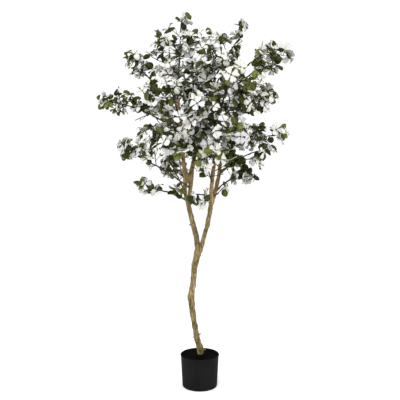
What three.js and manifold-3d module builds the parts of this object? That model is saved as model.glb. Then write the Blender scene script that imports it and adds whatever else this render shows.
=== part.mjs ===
// Artificial flowering dogwood tree, 1.83 m tall, in a plain round nursery pot.
//
// Millimetres, +Z up. The origin is the centre of the pot's underside, +X is to the right of
// someone who faces the tree, and that person stands towards -Y.
// The wood is one leaning trunk that forks into a left and a right limb. Each of those forks
// again, and wired sprays of leaves and four-petalled blossom are set into the wood. Every
// spray follows one arched spine: on the wider sprays its first stretch is a bare bough, and
// the rest is a stem with twigs. One seeded rule grows the twigs of all the sprays: each joint
// of a stem has a twig that ends in leaves and, across from it, one that ends in a blossom.

import * as THREE from 'three';
import { mergeVertices } from 'three/addons/utils/BufferGeometryUtils.js';
import Module from 'manifold-3d';

const wasm = await Module();
wasm.setup();

// ---- Driving dimensions ----

const GAP = 0.3; // clearance between pieces that touch
const WELD = 1e-3; // vertices closer than this are one

const POT = {
  height: 158,
  topRadius: 94.4,
  baseRadius: 86.6,
  rounding: 4,
  wall: 2.6,
  floor: 3,
  rimRadius: 96.2,
  rimDepth: 4,
  fillLevel: 151,
  segments: 32,
};

// Centrelines of the wood, as knots of [x, y, z, radius].
const WOOD_LINES = {
  trunk: [
    [4, 0, 138, 16], [3, 0, 160, 15], [-3, 0, 200, 14.4], [-16, 0, 250, 13.8], [-30, -5, 335, 12.8],
    [-42, -12, 445, 16], [-32, -10, 520, 13.2], [-24, -4, 600, 14.8], [-11, 1, 662, 17], [-3, 2, 704, 18.5],
  ],
  leftLimb: [
    [-9, 2, 668, 12], [-15, 4, 725, 13], [-23, 9, 770, 12.7], [-37, 14, 820, 12], [-52, 18, 879, 11.5],
    [-60, 17, 934, 12.5],
  ],
  rightLimb: [
    [0, 2, 668, 11], [16, -4, 722, 10.5], [25, -11, 762, 9.4], [41, -20, 823, 10.7], [51, -25, 882, 10.6],
    [58, -29, 934, 10.6],
  ],
  leftOuter: [
    [-59, 16, 905, 9], [-68, 8, 948, 9], [-73, 3, 987, 9.5], [-68, 4, 1037, 13.3], [-77, -14, 1098, 9.4],
    [-83, -29, 1177, 9], [-91, -42, 1266, 8.6], [-99, -49, 1345, 8.2], [-105, -54, 1404, 7.8],
  ],
  leftInner: [
    [-59, 18, 905, 9], [-50, 22, 948, 9], [-45, 20, 987, 9.5], [-44, 10, 1037, 13.3], [-33, 36, 1102, 9.4],
    [-19, 56, 1179, 9], [4, 73, 1269, 8.6], [33, 84, 1359, 8.2], [60, 90, 1443, 7.6], [79, 94, 1547, 6.6],
  ],
  rightInner: [
    [57, -28, 905, 8.5], [55, -40, 960, 9], [61, -52, 1038, 8.7], [68, -62, 1105, 8.6], [74, -71, 1180, 8.2],
  ],
  rightOuter: [
    [58, -28, 905, 8.5], [72, -22, 955, 9], [91, -10, 1037, 9], [100, 2, 1112, 8.6],
  ],
  upperStem: [
    [74, -71, 1180, 5.6], [79.3, -79, 1246, 5.2], [94, -90, 1329, 4.8], [112, -94, 1407, 4.4],
    [138, -84, 1478, 4],
  ],
};

// Each piece of wood, as stretches of those lines between two heights.
const WOOD_PIECES = {
  trunk: [['trunk', 138, 704], ['leftLimb', 668, 752], ['rightLimb', 668, 750]],
  limb_left: [['leftLimb', 752, 934], ['leftOuter', 905, 1066], ['leftInner', 905, 1068]],
  limb_right: [['rightLimb', 750, 934], ['rightInner', 905, 984], ['rightOuter', 905, 986]],
  limb_left_outer: [['leftOuter', 1066, 1404]],
  limb_left_inner: [['leftInner', 1068, 1547]],
  limb_right_inner: [['rightInner', 984, 1180]],
  limb_right_outer: [['rightOuter', 986, 1112]],
  stem_upper_right: [['upperStem', 1180, 1478]],
};
const WOOD_FACETS = { sides: 9, stepLength: 40 };

// Sprays: the wood that carries each and how high, where its tip is, how far its spine arches
// up (rise) and towards the back (swing), the share of its spine that is a bare bough, and the
// size of its twigs and leaves.
const SPRAYS = [
  {
    name: 'low_left', wood: 'leftLimb', height: 922, tip: [-338, -60, 1012], rise: 15,
    boughShare: 0.34, size: 0.68,
  },
  { name: 'low_back_left', wood: 'leftOuter', height: 950, tip: [-190, 220, 1150], rise: 30, size: 0.85 },
  { name: 'small_left', wood: 'leftOuter', height: 945, tip: [-130, -150, 1000], rise: 10, size: 0.7 },
  {
    name: 'left_fork', wood: 'leftInner', height: 980, tip: [-402, -40, 1178], rise: 40,
    swing: -170, boughShare: 0.4, size: 0.78,
  },
  { name: 'front_left', wood: 'leftOuter', height: 1118, tip: [-176, -330, 1190], rise: 60, size: 0.9 },
  {
    name: 'back_left', wood: 'leftOuter', height: 1180, tip: [-270, 340, 1307], rise: 60,
    boughShare: 0.32,
  },
  {
    name: 'left_mid', wood: 'leftOuter', height: 1248, tip: [-522, 0, 1406], rise: 65,
    boughShare: 0.3, size: 0.68,
  },
  { name: 'front_up_left', wood: 'leftOuter', height: 1300, tip: [-150, -290, 1450], rise: 50 },
  {
    name: 'left_upper', wood: 'leftOuter', height: 1334, tip: [-378, 20, 1650], rise: 20,
    boughShare: 0.3, size: 0.8,
  },
  {
    name: 'left_top', wood: 'leftOuter', height: 1354, tip: [-207, -60, 1745], rise: 15,
    boughShare: 0.28, size: 0.85,
  },
  { name: 'top_left', wood: 'leftOuter', height: 1398, tip: [-84, -10, 1848], rise: 20, size: 0.8 },
  { name: 'back_mid', wood: 'leftInner', height: 1150, tip: [0, 420, 1234], rise: 60, boughShare: 0.3 },
  {
    name: 'front_mid', wood: 'leftInner', height: 1228, tip: [-14, -390, 1347], rise: 60,
    boughShare: 0.34,
  },
  { name: 'front_high', wood: 'leftInner', height: 1400, tip: [50, -230, 1640], rise: 40 },
  { name: 'back_up_left', wood: 'leftInner', height: 1322, tip: [-167, 290, 1621], rise: 50 },
  { name: 'back_high', wood: 'leftInner', height: 1378, tip: [60, 330, 1500], rise: 40 },
  { name: 'top_middle', wood: 'leftInner', height: 1440, tip: [-2, 30, 1765], rise: 10 },
  { name: 'top_back', wood: 'leftInner', height: 1500, tip: [90, 130, 1755], rise: 10 },
  { name: 'back_up_right', wood: 'leftInner', height: 1470, tip: [193, 260, 1640], rise: 40 },
  {
    name: 'top_right', wood: 'leftInner', height: 1536, tip: [266, -20, 1758], rise: 50,
    boughShare: 0.25, size: 0.8,
  },
  { name: 'low_front', wood: 'rightLimb', height: 928, tip: [-60, -190, 925], rise: 40, size: 0.65 },
  { name: 'small_right', wood: 'rightOuter', height: 942, tip: [122, -130, 945], rise: 20, size: 0.5 },
  {
    name: 'low_right', wood: 'rightOuter', height: 966, tip: [290, 30, 1018], rise: 70,
    boughShare: 0.24, size: 0.9,
  },
  { name: 'inner_front', wood: 'rightInner', height: 1010, tip: [16, -240, 1092], rise: 30, size: 0.85 },
  {
    name: 'right_low', wood: 'rightOuter', height: 1050, tip: [368, -80, 1168], rise: 55,
    boughShare: 0.24, size: 0.88,
  },
  { name: 'back_right', wood: 'rightOuter', height: 1090, tip: [270, 350, 1280], rise: 60 },
  {
    name: 'right_wide', wood: 'rightInner', height: 1130, tip: [448, -20, 1238], rise: 55,
    boughShare: 0.34, size: 0.85,
  },
  { name: 'front_low', wood: 'rightInner', height: 1085, tip: [60, -300, 1150], rise: 40 },
  {
    name: 'front_right', wood: 'rightInner', height: 1165, tip: [163, -360, 1251], rise: 60,
    boughShare: 0.3,
  },
  { name: 'right_inner', wood: 'upperStem', height: 1225, tip: [275, -150, 1345], rise: 50 },
  {
    name: 'right_mid', wood: 'upperStem', height: 1310, tip: [403, 50, 1418], rise: 80,
    boughShare: 0.3, size: 0.9,
  },
  { name: 'front_up_right', wood: 'upperStem', height: 1360, tip: [156, -320, 1482], rise: 50 },
  {
    name: 'right_upper', wood: 'upperStem', height: 1415, tip: [415, -70, 1574], rise: 60,
    boughShare: 0.3, size: 0.72,
  },
  {
    name: 'right_top', wood: 'upperStem', height: 1470, tip: [422, 20, 1666], rise: 60,
    boughShare: 0.3, size: 0.85,
  },
];
const SPINE = { bend: 0.45, endShort: 80 }; // share where it arches, and length left for the last leaf

const BOUGH = { radius: 4.2, taper: 0.8, sides: 5, steps: 3 };
const STEM = { radius: 4, tipRadius: 3.2, sides: 3, steps: 4, bareShare: 0.24 };
const TWIG = {
  spacing: 49, // along the stem, from one twig to the next
  length: 120,
  shorter: 0.65, // a twig with too little room is tried again at this share of its length
  tipShare: 0.6, // length of the twigs at the stem's end, as a share
  turn: 137.5, // degrees round the stem from one twig to the next
  firstTurn: 40, // degrees that a spray's first twig is turned on from the last spray's
  turnStray: 25,
  spread: 60, // degrees off the stem
  spreadStray: 10,
  lengthDraw: [0.5, 1.15], // least and most of the length that a twig has
  flatness: 0.6, // how far twigs above and below the stem are pressed level
  lift: 0.2, // how strongly twigs turn up to the light
  radius: 1.6,
  tipRadius: 1.4,
  checks: [0.4, 0.7, 1], // shares of its length at which its room is measured
};
// The leaves at a twig's end meet as one closed star, with eight faces to each leaf.
const LEAF = {
  length: 88,
  width: 66,
  widest: 0.54, // where it is widest, as a share of the length
  beyond: 1, // from the twig's end to where the leaves meet
  thickness: 5, // where the leaves meet
  neck: 4, // from there to the notch between two leaves
  splays: [-84, 0, 84], // degrees off the twig, one leaf at each
  splayStray: 5,
  tilt: 22, // most degrees that a leaf leans out of the star's plane
  roll: 35, // most degrees that it turns about its midrib
  tries: 12, // turns that are tried to find room for the leaves or the blossom on a twig
};
const FLOWER = {
  petals: 4,
  radius: 40,
  valley: 0.46, // radius between two petals, as a share
  cup: 8, // how far the petals' tips stand in front of the middle
  button: 3,
  depth: 7, // from the middle to the back
  offCentre: 8,
  sunk: 3,
  twigLength: 0.6, // of the twig that carries it, as a share of the leafy twigs'
  turn: 180, // degrees round the stem from the leafy twig at the same joint
};
const FACING = { outwards: 0.35, up: 0.4, along: 1 }; // pull on a leaf's or flower's face
const APART = { leaf: 45, flower: 38 }; // room across that each keeps to itself in a spray
const ROOM = { own: 2.2, wood: 2.5 }; // clearances kept by twigs, leaves and blossom
const STRETCHES = { wood: 24, bough: 6, spine: 16 }; // straight stretches that stand for a line
const SEEDS = { spray: 1000, twig: 10, firstTwig: 1, tip: 999 };
const CROWN_CENTRE = new THREE.Vector3(0, 0, 1250); // leaves and blossom face away from here

const FINISHES = {
  pot: { color: 0x1f1f20, roughness: 0.6 },
  fill: { color: 0x141312, roughness: 0.95 },
  wood: { color: 0x907d59, roughness: 0.85 },
  bough: { color: 0x453a2e, roughness: 0.8 },
  foliage: { color: 0x47512f, roughness: 0.6 },
};

const UP = new THREE.Vector3(0, 0, 1);
const BACK = new THREE.Vector3(0, 1, 0);
const RIGHT = new THREE.Vector3(1, 0, 0);

// ---- Solids ----

/** The geometry with positions only, and its shared vertices merged. */
function welded(geometry) {
  geometry.deleteAttribute('normal');
  geometry.deleteAttribute('uv');
  return mergeVertices(geometry, WELD);
}

/** Moves each vertex of a geometry to where `place(x, y, z)` says. */
function reshaped(geometry, place) {
  const position = geometry.attributes.position;
  for (let i = 0; i < position.count; i += 1) {
    const moved = place(position.getX(i), position.getY(i), position.getZ(i));
    position.setXYZ(i, moved.x, moved.y, moved.z);
  }
  return geometry;
}

/** A closed geometry as a solid that can be joined and cut. */
function solidFrom(geometry) {
  const vertProperties = new Float32Array(geometry.attributes.position.array);
  const triVerts = new Uint32Array(geometry.index.array);
  return new wasm.Manifold(new wasm.Mesh({ numProp: 3, vertProperties, triVerts }));
}

function joined(solids) {
  return solids.reduce((whole, solid) => whole.add(solid));
}

function largestPiece(solid) {
  return solid.decompose().reduce((best, piece) => (piece.volume() > best.volume() ? piece : best));
}

/**
 * The solid's largest closed piece: a hollow sealed by joining is filled, and a scrap dropped.
 * It is taken again after welding, because what hangs on by less than the weld comes loose.
 */
function wholePiece(solid) {
  return largestPiece(solidFrom(welded(geometryFrom(largestPiece(solid)))));
}

function geometryFrom(solid) {
  const { vertProperties, triVerts } = solid.getMesh();
  const geometry = new THREE.BufferGeometry();
  geometry.setAttribute('position', new THREE.BufferAttribute(vertProperties, 3));
  geometry.setIndex(new THREE.BufferAttribute(triVerts, 1));
  return geometry;
}

// ---- Lines that wood, boughs and twigs follow ----

class Line {
  /** `sideways` is a direction that the line never runs along. */
  constructor(curve, radiusAt, sideways) {
    this.curve = curve;
    this.radiusAt = radiusAt;
    this.sideways = sideways;
  }

  /** Right-handed directions across the line at t: side, along and front. */
  frameAt(t) {
    const along = this.curve.getTangent(t);
    const side = this.sideways.clone().addScaledVector(along, -along.dot(this.sideways)).normalize();
    return { point: this.curve.getPoint(t), along, side, front: side.clone().cross(along) };
  }

  /** The t that lies `distance` further on than t. */
  further(t, distance) {
    const probe = 0.005;
    const speed = this.curve.getPoint(t + probe).distanceTo(this.curve.getPoint(t)) / probe;
    return t + distance / speed;
  }

  /** The t at which an upright line is `height` above the floor. */
  atHeight(height) {
    const halvings = 30;
    let [low, high] = [0, 1];
    for (let i = 0; i < halvings; i += 1) {
      const middle = (low + high) / 2;
      if (this.curve.getPoint(middle).z < height) low = middle;
      else high = middle;
    }
    return (low + high) / 2;
  }

  /** A closed rod along the line between two t, its surface and ends `swell` further out. */
  rod(from, to, sides, steps, swell = 0) {
    const shape = welded(new THREE.CylinderGeometry(1, 1, 1, sides, steps));
    return reshaped(shape, (x, y, z) => {
      const t = from + (to - from) * (y + 0.5);
      const { point, along, side, front } = this.frameAt(t);
      const radius = this.radiusAt(t) + swell;
      const end = Math.trunc(2 * y);
      return point.addScaledVector(side, x * radius)
        .addScaledVector(front, z * radius)
        .addScaledVector(along, swell * end);
    });
  }

  /** Straight stretches of the line, each with its radius, for measuring distances to it. */
  stretches(from, to, count) {
    return Array.from({ length: count }, (_, i) => {
      const [start, end] = [i, i + 1].map((step) => from + ((to - from) * step) / count);
      const line = new THREE.Line3(this.curve.getPoint(start), this.curve.getPoint(end));
      return { line, radius: Math.max(this.radiusAt(start), this.radiusAt(end)) };
    });
  }
}

function lineThroughKnots(knots) {
  const points = knots.map(([x, y, z]) => new THREE.Vector3(x, y, z));
  const curve = new THREE.CatmullRomCurve3(points, false, 'catmullrom');
  const radiusAt = (t) => {
    const place = Math.min(Math.max(t, 0), 1) * (knots.length - 1);
    const knot = Math.min(Math.floor(place), knots.length - 2);
    return THREE.MathUtils.lerp(knots[knot][3], knots[knot + 1][3], place - knot);
  };
  return new Line(curve, radiusAt, BACK);
}

/** An arched line from start to end, bent through `middle`, that tapers between two radii. */
function archedLine(start, middle, end, startRadius, endRadius) {
  const curve = new THREE.QuadraticBezierCurve3(start, middle, end);
  const steepest = 0.05;
  const level = end.clone().sub(start).normalize().cross(UP);
  const sideways = level.length() > steepest ? level.normalize() : RIGHT;
  return new Line(curve, (t) => THREE.MathUtils.lerp(startRadius, endRadius, t), sideways);
}

function nearest(point, stretches) {
  const foot = new THREE.Vector3();
  return stretches.reduce((least, { line, radius }) => {
    line.closestPointToPoint(point, true, foot);
    return Math.min(least, foot.distanceTo(point) - radius);
  }, Infinity);
}

/** Seeded draws: each call gives the next number between low and high. */
function drawsFrom(seed) {
  let state = seed;
  const draw = (low = 0, high = 1) => {
    state = (state * 1664525 + 1013904223) % 4294967296;
    return low + ((high - low) * state) / 4294967296;
  };
  for (let i = 0; i < 4; i += 1) draw();
  return draw;
}

// ---- Pot and fill ----

function lathed(profile) {
  const points = profile.map(([radius, height]) => new THREE.Vector2(radius, height));
  return welded(new THREE.LatheGeometry(points, POT.segments).rotateX(Math.PI / 2));
}

function makePot() {
  const rounding = [0, 1, 2].map((step) => {
    const angle = (step / 2) * (Math.PI / 2);
    return [
      POT.baseRadius - POT.rounding * (1 - Math.sin(angle)),
      POT.rounding * (1 - Math.cos(angle)),
    ];
  });
  return lathed([
    [0, 0],
    ...rounding,
    [POT.topRadius, POT.height - POT.rimDepth],
    [POT.rimRadius, POT.height - POT.rimDepth],
    [POT.rimRadius, POT.height],
    [POT.topRadius - POT.wall, POT.height],
    [POT.baseRadius - POT.wall, POT.floor],
    [0, POT.floor],
  ]);
}

/** The set fill that the trunk stands on, clear of the pot all round. */
function makeFill() {
  const insideAt = (height) => {
    const share = (height - POT.floor) / (POT.height - POT.floor);
    return THREE.MathUtils.lerp(POT.baseRadius, POT.topRadius, share) - POT.wall - 2 * GAP;
  };
  const bottom = POT.floor + GAP;
  return lathed([
    [0, bottom],
    [insideAt(bottom), bottom],
    [insideAt(POT.fillLevel), POT.fillLevel],
    [0, POT.fillLevel],
  ]);
}

// ---- Wood ----

const wood = Object.fromEntries(
  Object.entries(WOOD_LINES).map(([name, knots]) => [name, lineThroughKnots(knots)]),
);

function woodSolid(stretches, swell = 0) {
  return joined(stretches.map(([name, low, high]) => {
    const line = wood[name];
    const from = line.further(line.atHeight(low), GAP);
    const steps = Math.ceil((high - low) / WOOD_FACETS.stepLength);
    return solidFrom(line.rod(from, line.atHeight(high), WOOD_FACETS.sides, steps, swell));
  }));
}

/** The trunk's foot is cut flat where it stands on the fill. */
function cutFoot(solid) {
  const depth = 100;
  const below = new THREE.BoxGeometry(depth, depth, depth);
  below.translate(0, 0, POT.fillLevel + GAP - depth / 2);
  return solid.subtract(solidFrom(welded(below)));
}

// ---- Leaves and blossom ----

/** Direction at an angle from the first towards the second. */
function leaned(first, second, angle) {
  return first.clone().multiplyScalar(Math.cos(angle)).addScaledVector(second, Math.sin(angle)).normalize();
}

/**
 * A ring of corners joined to a point in front of it and one behind it, as one closed star. The
 * corners run round from a first direction towards its cross product with the way to the front.
 */
function starSolid(ring, front, back) {
  const step = (2 * Math.PI) / ring.length;
  return solidFrom(reshaped(welded(new THREE.SphereGeometry(1, ring.length, 2)), (x, y, z) => {
    if (Math.abs(y) > 0.5) return y > 0 ? front : back;
    const corner = Math.round(Math.atan2(z, x) / step);
    return ring[(corner + ring.length) % ring.length];
  }));
}

/** The corners of a blossom: a notch and then the two corners of a cupped petal, four times. */
function blossomRing(middle, face, sideways) {
  const across = sideways.clone().cross(face).normalize();
  const upright = across.clone().cross(face);
  const corners = 3 * FLOWER.petals;
  return Array.from({ length: corners }, (_, corner) => {
    const notch = corner % 3 === 0;
    const direction = leaned(across, upright, (2 * Math.PI * corner) / corners);
    return middle.clone()
      .addScaledVector(direction, FLOWER.radius * (notch ? FLOWER.valley : 1))
      .addScaledVector(face, notch ? 0 : FLOWER.cup);
  });
}

// ---- Sprays ----

const sprays = SPRAYS.map((spray, index) => {
  const carrier = wood[spray.wood];
  const start = carrier.curve.getPoint(carrier.atHeight(spray.height));
  const tip = new THREE.Vector3(...spray.tip);
  const middle = start.clone().lerp(tip, SPINE.bend)
    .addScaledVector(UP, spray.rise)
    .addScaledVector(BACK, spray.swing ?? 0);
  const end = tip.clone().addScaledVector(tip.clone().sub(middle).normalize(), -SPINE.endShort);
  const bough = archedLine(start, middle, end, BOUGH.radius, BOUGH.radius * BOUGH.taper);
  const stem = archedLine(start, middle, end, STEM.radius, STEM.tipRadius);
  const spine = stem.stretches(0, 1, STRETCHES.spine);
  return { size: 1, ...spray, index, bough, stem, length: start.distanceTo(end), spine };
});

const woodStretches = [
  ...Object.values(wood).flatMap((line) => line.stretches(0, 1, STRETCHES.wood)),
  ...sprays.filter((spray) => spray.boughShare)
    .flatMap((spray) => spray.bough.stretches(0, spray.boughShare, STRETCHES.bough)),
];

/** Whether all of the points lie in the spray's own space and clear of the wood. */
function hasRoom(points, spray) {
  return points.every((point) => {
    const own = nearest(point, spray.spine);
    const clearOfOthers = sprays.every(
      (other) => other === spray || nearest(point, other.spine) > own + 2 * ROOM.own,
    );
    return clearOfOthers && nearest(point, woodStretches) > ROOM.wood;
  });
}

/** A direction that faces any way, but rather up and out of the crown than down and in. */
function looseFace(point, draw) {
  const outwards = point.clone().sub(CROWN_CENTRE).normalize();
  const stray = new THREE.Vector3(draw(-1, 1), draw(-1, 1), draw(-1, 1));
  return stray.addScaledVector(outwards, FACING.outwards).addScaledVector(UP, FACING.up).normalize();
}

/** A twig that leaves a spray's stem at t, or nothing where it has no room. */
function twigFrom(spray, t, turned, lengthShare, draw) {
  const { point, along, side, front } = spray.stem.frameAt(t);
  const turn = THREE.MathUtils.degToRad(
    turned + spray.index * TWIG.firstTurn + draw(-TWIG.turnStray, TWIG.turnStray),
  );
  const outwards = side.multiplyScalar(Math.cos(turn))
    .addScaledVector(front, Math.sin(turn) * TWIG.flatness)
    .addScaledVector(UP, TWIG.lift);
  const spread = THREE.MathUtils.degToRad(TWIG.spread + draw(-TWIG.spreadStray, TWIG.spreadStray));
  const direction = leaned(along, outwards.normalize(), spread);
  const length = TWIG.length * spray.size * THREE.MathUtils.lerp(1, TWIG.tipShare, t)
    * draw(...TWIG.lengthDraw);
  for (const share of [1, TWIG.shorter]) {
    const end = point.clone().addScaledVector(direction, length * lengthShare * share);
    const twig = archedLine(point, point.clone().lerp(end, 0.5), end, TWIG.radius, TWIG.tipRadius);
    if (hasRoom(TWIG.checks.map((place) => twig.curve.getPoint(place)), spray)) return twig;
  }
  return null;
}

/** Whether a piece keeps clear of the places already taken. */
function isFree(middle, apart, taken) {
  return taken.every((other) => other.middle.distanceTo(middle) > (other.apart + apart) / 2);
}

/** The corners of a leaf that leaves the centre at an angle in the frame's plane. */
function leafAt(centre, { along, face, across }, splay, size, draw) {
  const angle = THREE.MathUtils.degToRad(splay + draw(-LEAF.splayStray, LEAF.splayStray));
  const tilt = THREE.MathUtils.degToRad(draw(-LEAF.tilt, LEAF.tilt));
  const roll = THREE.MathUtils.degToRad(draw(-LEAF.roll, LEAF.roll));
  const direction = leaned(leaned(along, across, angle), face, tilt);
  const side = leaned(leaned(along, across, angle + Math.PI / 2), face, roll);
  const corner = (share, turned) => centre.clone()
    .addScaledVector(direction, LEAF.length * size * share)
    .addScaledVector(side, (LEAF.width * size * turned) / 2);
  const corners = [corner(LEAF.widest, -1), corner(1, 0), corner(LEAF.widest, 1)];
  return { angle, corners, middle: corner(0.5, 0) };
}

/** The leaves that have room at the end of a line, turned a few times to find the most. */
function leavesOn(line, spray, draw, taken) {
  const { point, along } = line.frameAt(1);
  const centre = point.addScaledVector(along, LEAF.beyond);
  let best = { leaves: [] };
  for (let i = 0; i < LEAF.tries && best.leaves.length < LEAF.splays.length; i += 1) {
    const loose = looseFace(centre, draw);
    const across = along.clone().cross(loose).normalize();
    const frame = { along, face: across.clone().cross(along), across };
    const leaves = LEAF.splays.map((splay) => leafAt(centre, frame, splay, spray.size, draw))
      .filter((leaf) => hasRoom(leaf.corners, spray) && isFree(leaf.middle, APART.leaf, taken));
    if (leaves.length > best.leaves.length) best = { frame, leaves };
  }
  const { frame, leaves } = best;
  if (leaves.length === 0) return [];
  taken.push(...leaves.map(({ middle }) => ({ middle, apart: APART.leaf })));
  const ring = leaves.flatMap(({ angle, corners }, i) => {
    const last = i > 0 ? leaves[i - 1].angle : leaves.at(-1).angle - 2 * Math.PI;
    const notch = leaned(frame.along, frame.across, (last + angle) / 2);
    return [centre.clone().addScaledVector(notch, LEAF.neck), ...corners];
  });
  const [front, back] = [0.5, -0.5].map((share) => (
    centre.clone().addScaledVector(frame.face, LEAF.thickness * share)
  ));
  return [starSolid(ring, front, back)];
}

/** A blossom on the end of a twig, turned until it has room, or nothing. */
function blossomOn(line, spray, draw, taken) {
  const { point, along, side } = line.frameAt(1);
  for (let i = 0; i < LEAF.tries; i += 1) {
    const face = looseFace(point, draw).addScaledVector(along, FACING.along).normalize();
    const middle = point.clone().addScaledVector(face, FLOWER.sunk).addScaledVector(side, FLOWER.offCentre);
    const ring = blossomRing(middle, face, side);
    if (hasRoom(ring, spray) && isFree(middle, APART.flower, taken)) {
      taken.push({ middle, apart: APART.flower });
      const [front, back] = [FLOWER.button, -FLOWER.depth].map((height) => (
        middle.clone().addScaledVector(face, height)
      ));
      return [starSolid(ring, front, back)];
    }
  }
  return [];
}

function boughSolid(spray, swollenWood) {
  const rod = spray.bough.rod(0, spray.boughShare, BOUGH.sides, BOUGH.steps);
  return wholePiece(solidFrom(rod).subtract(swollenWood));
}

/** The twigs at one joint of a stem, one with leaves and one with a blossom, where there is room. */
function jointSolids(spray, t, number, draw, taken) {
  const kinds = [[leavesOn, 0, 1], [blossomOn, FLOWER.turn, FLOWER.twigLength]];
  return kinds.flatMap(([grow, turned, lengthShare]) => {
    const twig = twigFrom(spray, t, number * TWIG.turn + turned, lengthShare, draw);
    const ends = twig ? grow(twig, spray, draw, taken) : [];
    return ends.length > 0 ? [solidFrom(twig.rod(0, 1, STEM.sides, 1)), ...ends] : [];
  });
}

/** A stem with its twigs, leaves and blossom, as one solid. */
function foliageSolid(spray, swollenWood) {
  const from = spray.boughShare ? spray.stem.further(spray.boughShare, GAP) : 0;
  const rod = solidFrom(spray.stem.rod(from, 1, STEM.sides, STEM.steps));
  const stem = spray.boughShare ? rod : wholePiece(rod.subtract(swollenWood));
  const joints = Math.round((spray.length * (1 - from)) / TWIG.spacing);
  const seed = SEEDS.spray * spray.index;
  const taken = [];
  const tip = leavesOn(spray.stem, spray, drawsFrom(seed + SEEDS.tip), taken);
  const grown = Array.from({ length: joints }, (_, number) => {
    const t = from + ((1 - from) * (number + 1)) / (joints + 1);
    const draw = drawsFrom(seed + SEEDS.twig * number + SEEDS.firstTwig);
    return t > STEM.bareShare ? jointSolids(spray, t, number, draw, taken) : [];
  });
  return wholePiece(joined([stem, ...tip, ...grown.flat()]));
}

// ---- The tree ----

const tree = new THREE.Group();

function addPiece(name, geometry, finish) {
  const mesh = new THREE.Mesh(geometry, new THREE.MeshStandardMaterial({ ...finish, metalness: 0 }));
  mesh.name = name;
  tree.add(mesh);
}

addPiece('pot', makePot(), FINISHES.pot);
addPiece('pot_fill', makeFill(), FINISHES.fill);

for (const [name, stretches] of Object.entries(WOOD_PIECES)) {
  const solid = name === 'trunk' ? cutFoot(woodSolid(stretches)) : woodSolid(stretches);
  addPiece(name, geometryFrom(solid), FINISHES.wood);
}

const swollenWood = joined(Object.values(WOOD_PIECES).map((stretches) => woodSolid(stretches, GAP)));
for (const spray of sprays) {
  if (spray.boughShare) {
    addPiece(`bough_${spray.name}`, geometryFrom(boughSolid(spray, swollenWood)), FINISHES.bough);
  }
  addPiece(`foliage_${spray.name}`, geometryFrom(foliageSolid(spray, swollenWood)), FINISHES.foliage);
}

export default tree;
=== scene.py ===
import math

import bpy
import numpy as np
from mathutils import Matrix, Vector, noise


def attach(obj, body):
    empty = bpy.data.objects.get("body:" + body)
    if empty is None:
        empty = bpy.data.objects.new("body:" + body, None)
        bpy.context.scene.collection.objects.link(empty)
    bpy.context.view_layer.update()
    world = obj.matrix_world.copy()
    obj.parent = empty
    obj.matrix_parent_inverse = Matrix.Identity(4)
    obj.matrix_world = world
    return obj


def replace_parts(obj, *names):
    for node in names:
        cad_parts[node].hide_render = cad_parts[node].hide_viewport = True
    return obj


# Artificial flowering dogwood in a plain round black pot.
# Sizes are in millimetres until a mesh is made, and in metres from there on.

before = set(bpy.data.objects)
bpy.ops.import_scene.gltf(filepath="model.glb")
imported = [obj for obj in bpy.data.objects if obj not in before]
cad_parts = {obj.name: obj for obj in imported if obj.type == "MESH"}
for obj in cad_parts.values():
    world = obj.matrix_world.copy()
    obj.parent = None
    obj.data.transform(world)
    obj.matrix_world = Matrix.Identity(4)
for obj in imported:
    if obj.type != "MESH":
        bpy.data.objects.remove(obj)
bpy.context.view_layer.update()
print("frame loaded:", len(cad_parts), "nodes")

mm = 0.001
quarter = math.pi / 2
up, back, right = np.eye(3)[[2, 1, 0]]


# vectors and seeded draws

def unit(vector):
    return vector / np.linalg.norm(vector)


def mix(first, second, share):
    return first + (second - first) * share


# what lies at an angle in radians from the first towards the second, which are square to each other
def wayAt(first, second, angle):
    return first * math.cos(angle) + second * math.sin(angle)


def leaned(first, second, angle):
    return unit(wayAt(first, second, angle))


# the part of a direction that is square to another
def squareTo(vector, along):
    return unit(vector - along * vector.dot(along))


drawRule = {"factor": 1664525, "step": 1013904223, "range": 4294967296, "skipped": 4}


# each call of what this returns gives the next number between low and high
def drawsFrom(seed):
    state = seed

    def draw(low=0.0, high=1.0):
        nonlocal state
        state = (state * drawRule["factor"] + drawRule["step"]) % drawRule["range"]
        return low + (high - low) * state / drawRule["range"]

    for _ in range(drawRule["skipped"]):
        draw()
    return draw


def anyWay(draw):
    return np.array([draw(-1, 1), draw(-1, 1), draw(-1, 1)])


def pick(draw, table):
    return int(draw(0, len(table)))


# both ends and what lies evenly between them
def evenly(start, end, steps):
    return [mix(start, end, i / steps) for i in range(steps + 1)]


# lines that wood, boughs and twigs follow

class Line:
    def __init__(self, pointAt, radiusAt, sideways):
        self.pointAt, self.radiusAt, self.sideways = pointAt, radiusAt, sideways

    def frameAt(self, t, probe=1e-4):
        along = unit(self.pointAt(min(t + probe, 1)) - self.pointAt(max(t - probe, 0)))
        side = squareTo(self.sideways, along)
        return self.pointAt(t), along, side, np.cross(side, along)

    # the t that lies a distance further on
    def further(self, t, distance, probe=0.005):
        speed = np.linalg.norm(self.pointAt(t + probe) - self.pointAt(t)) / probe
        return t + distance / speed

    # the t at which an upright line is that high above the floor
    def atHeight(self, height, halvings=30):
        low, high = 0.0, 1.0
        for _ in range(halvings):
            middle = (low + high) / 2
            if self.pointAt(middle)[2] < height:
                low = middle
            else:
                high = middle
        return (low + high) / 2

    # straight stretches that stand for the line: starts, ends and radii
    def stretches(self, start, end, count):
        places = evenly(start, end, count)
        points = np.array([self.pointAt(t) for t in places])
        radii = [self.radiusAt(t) for t in places]
        return points[:-1], points[1:], np.maximum(radii[:-1], radii[1:])


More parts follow.
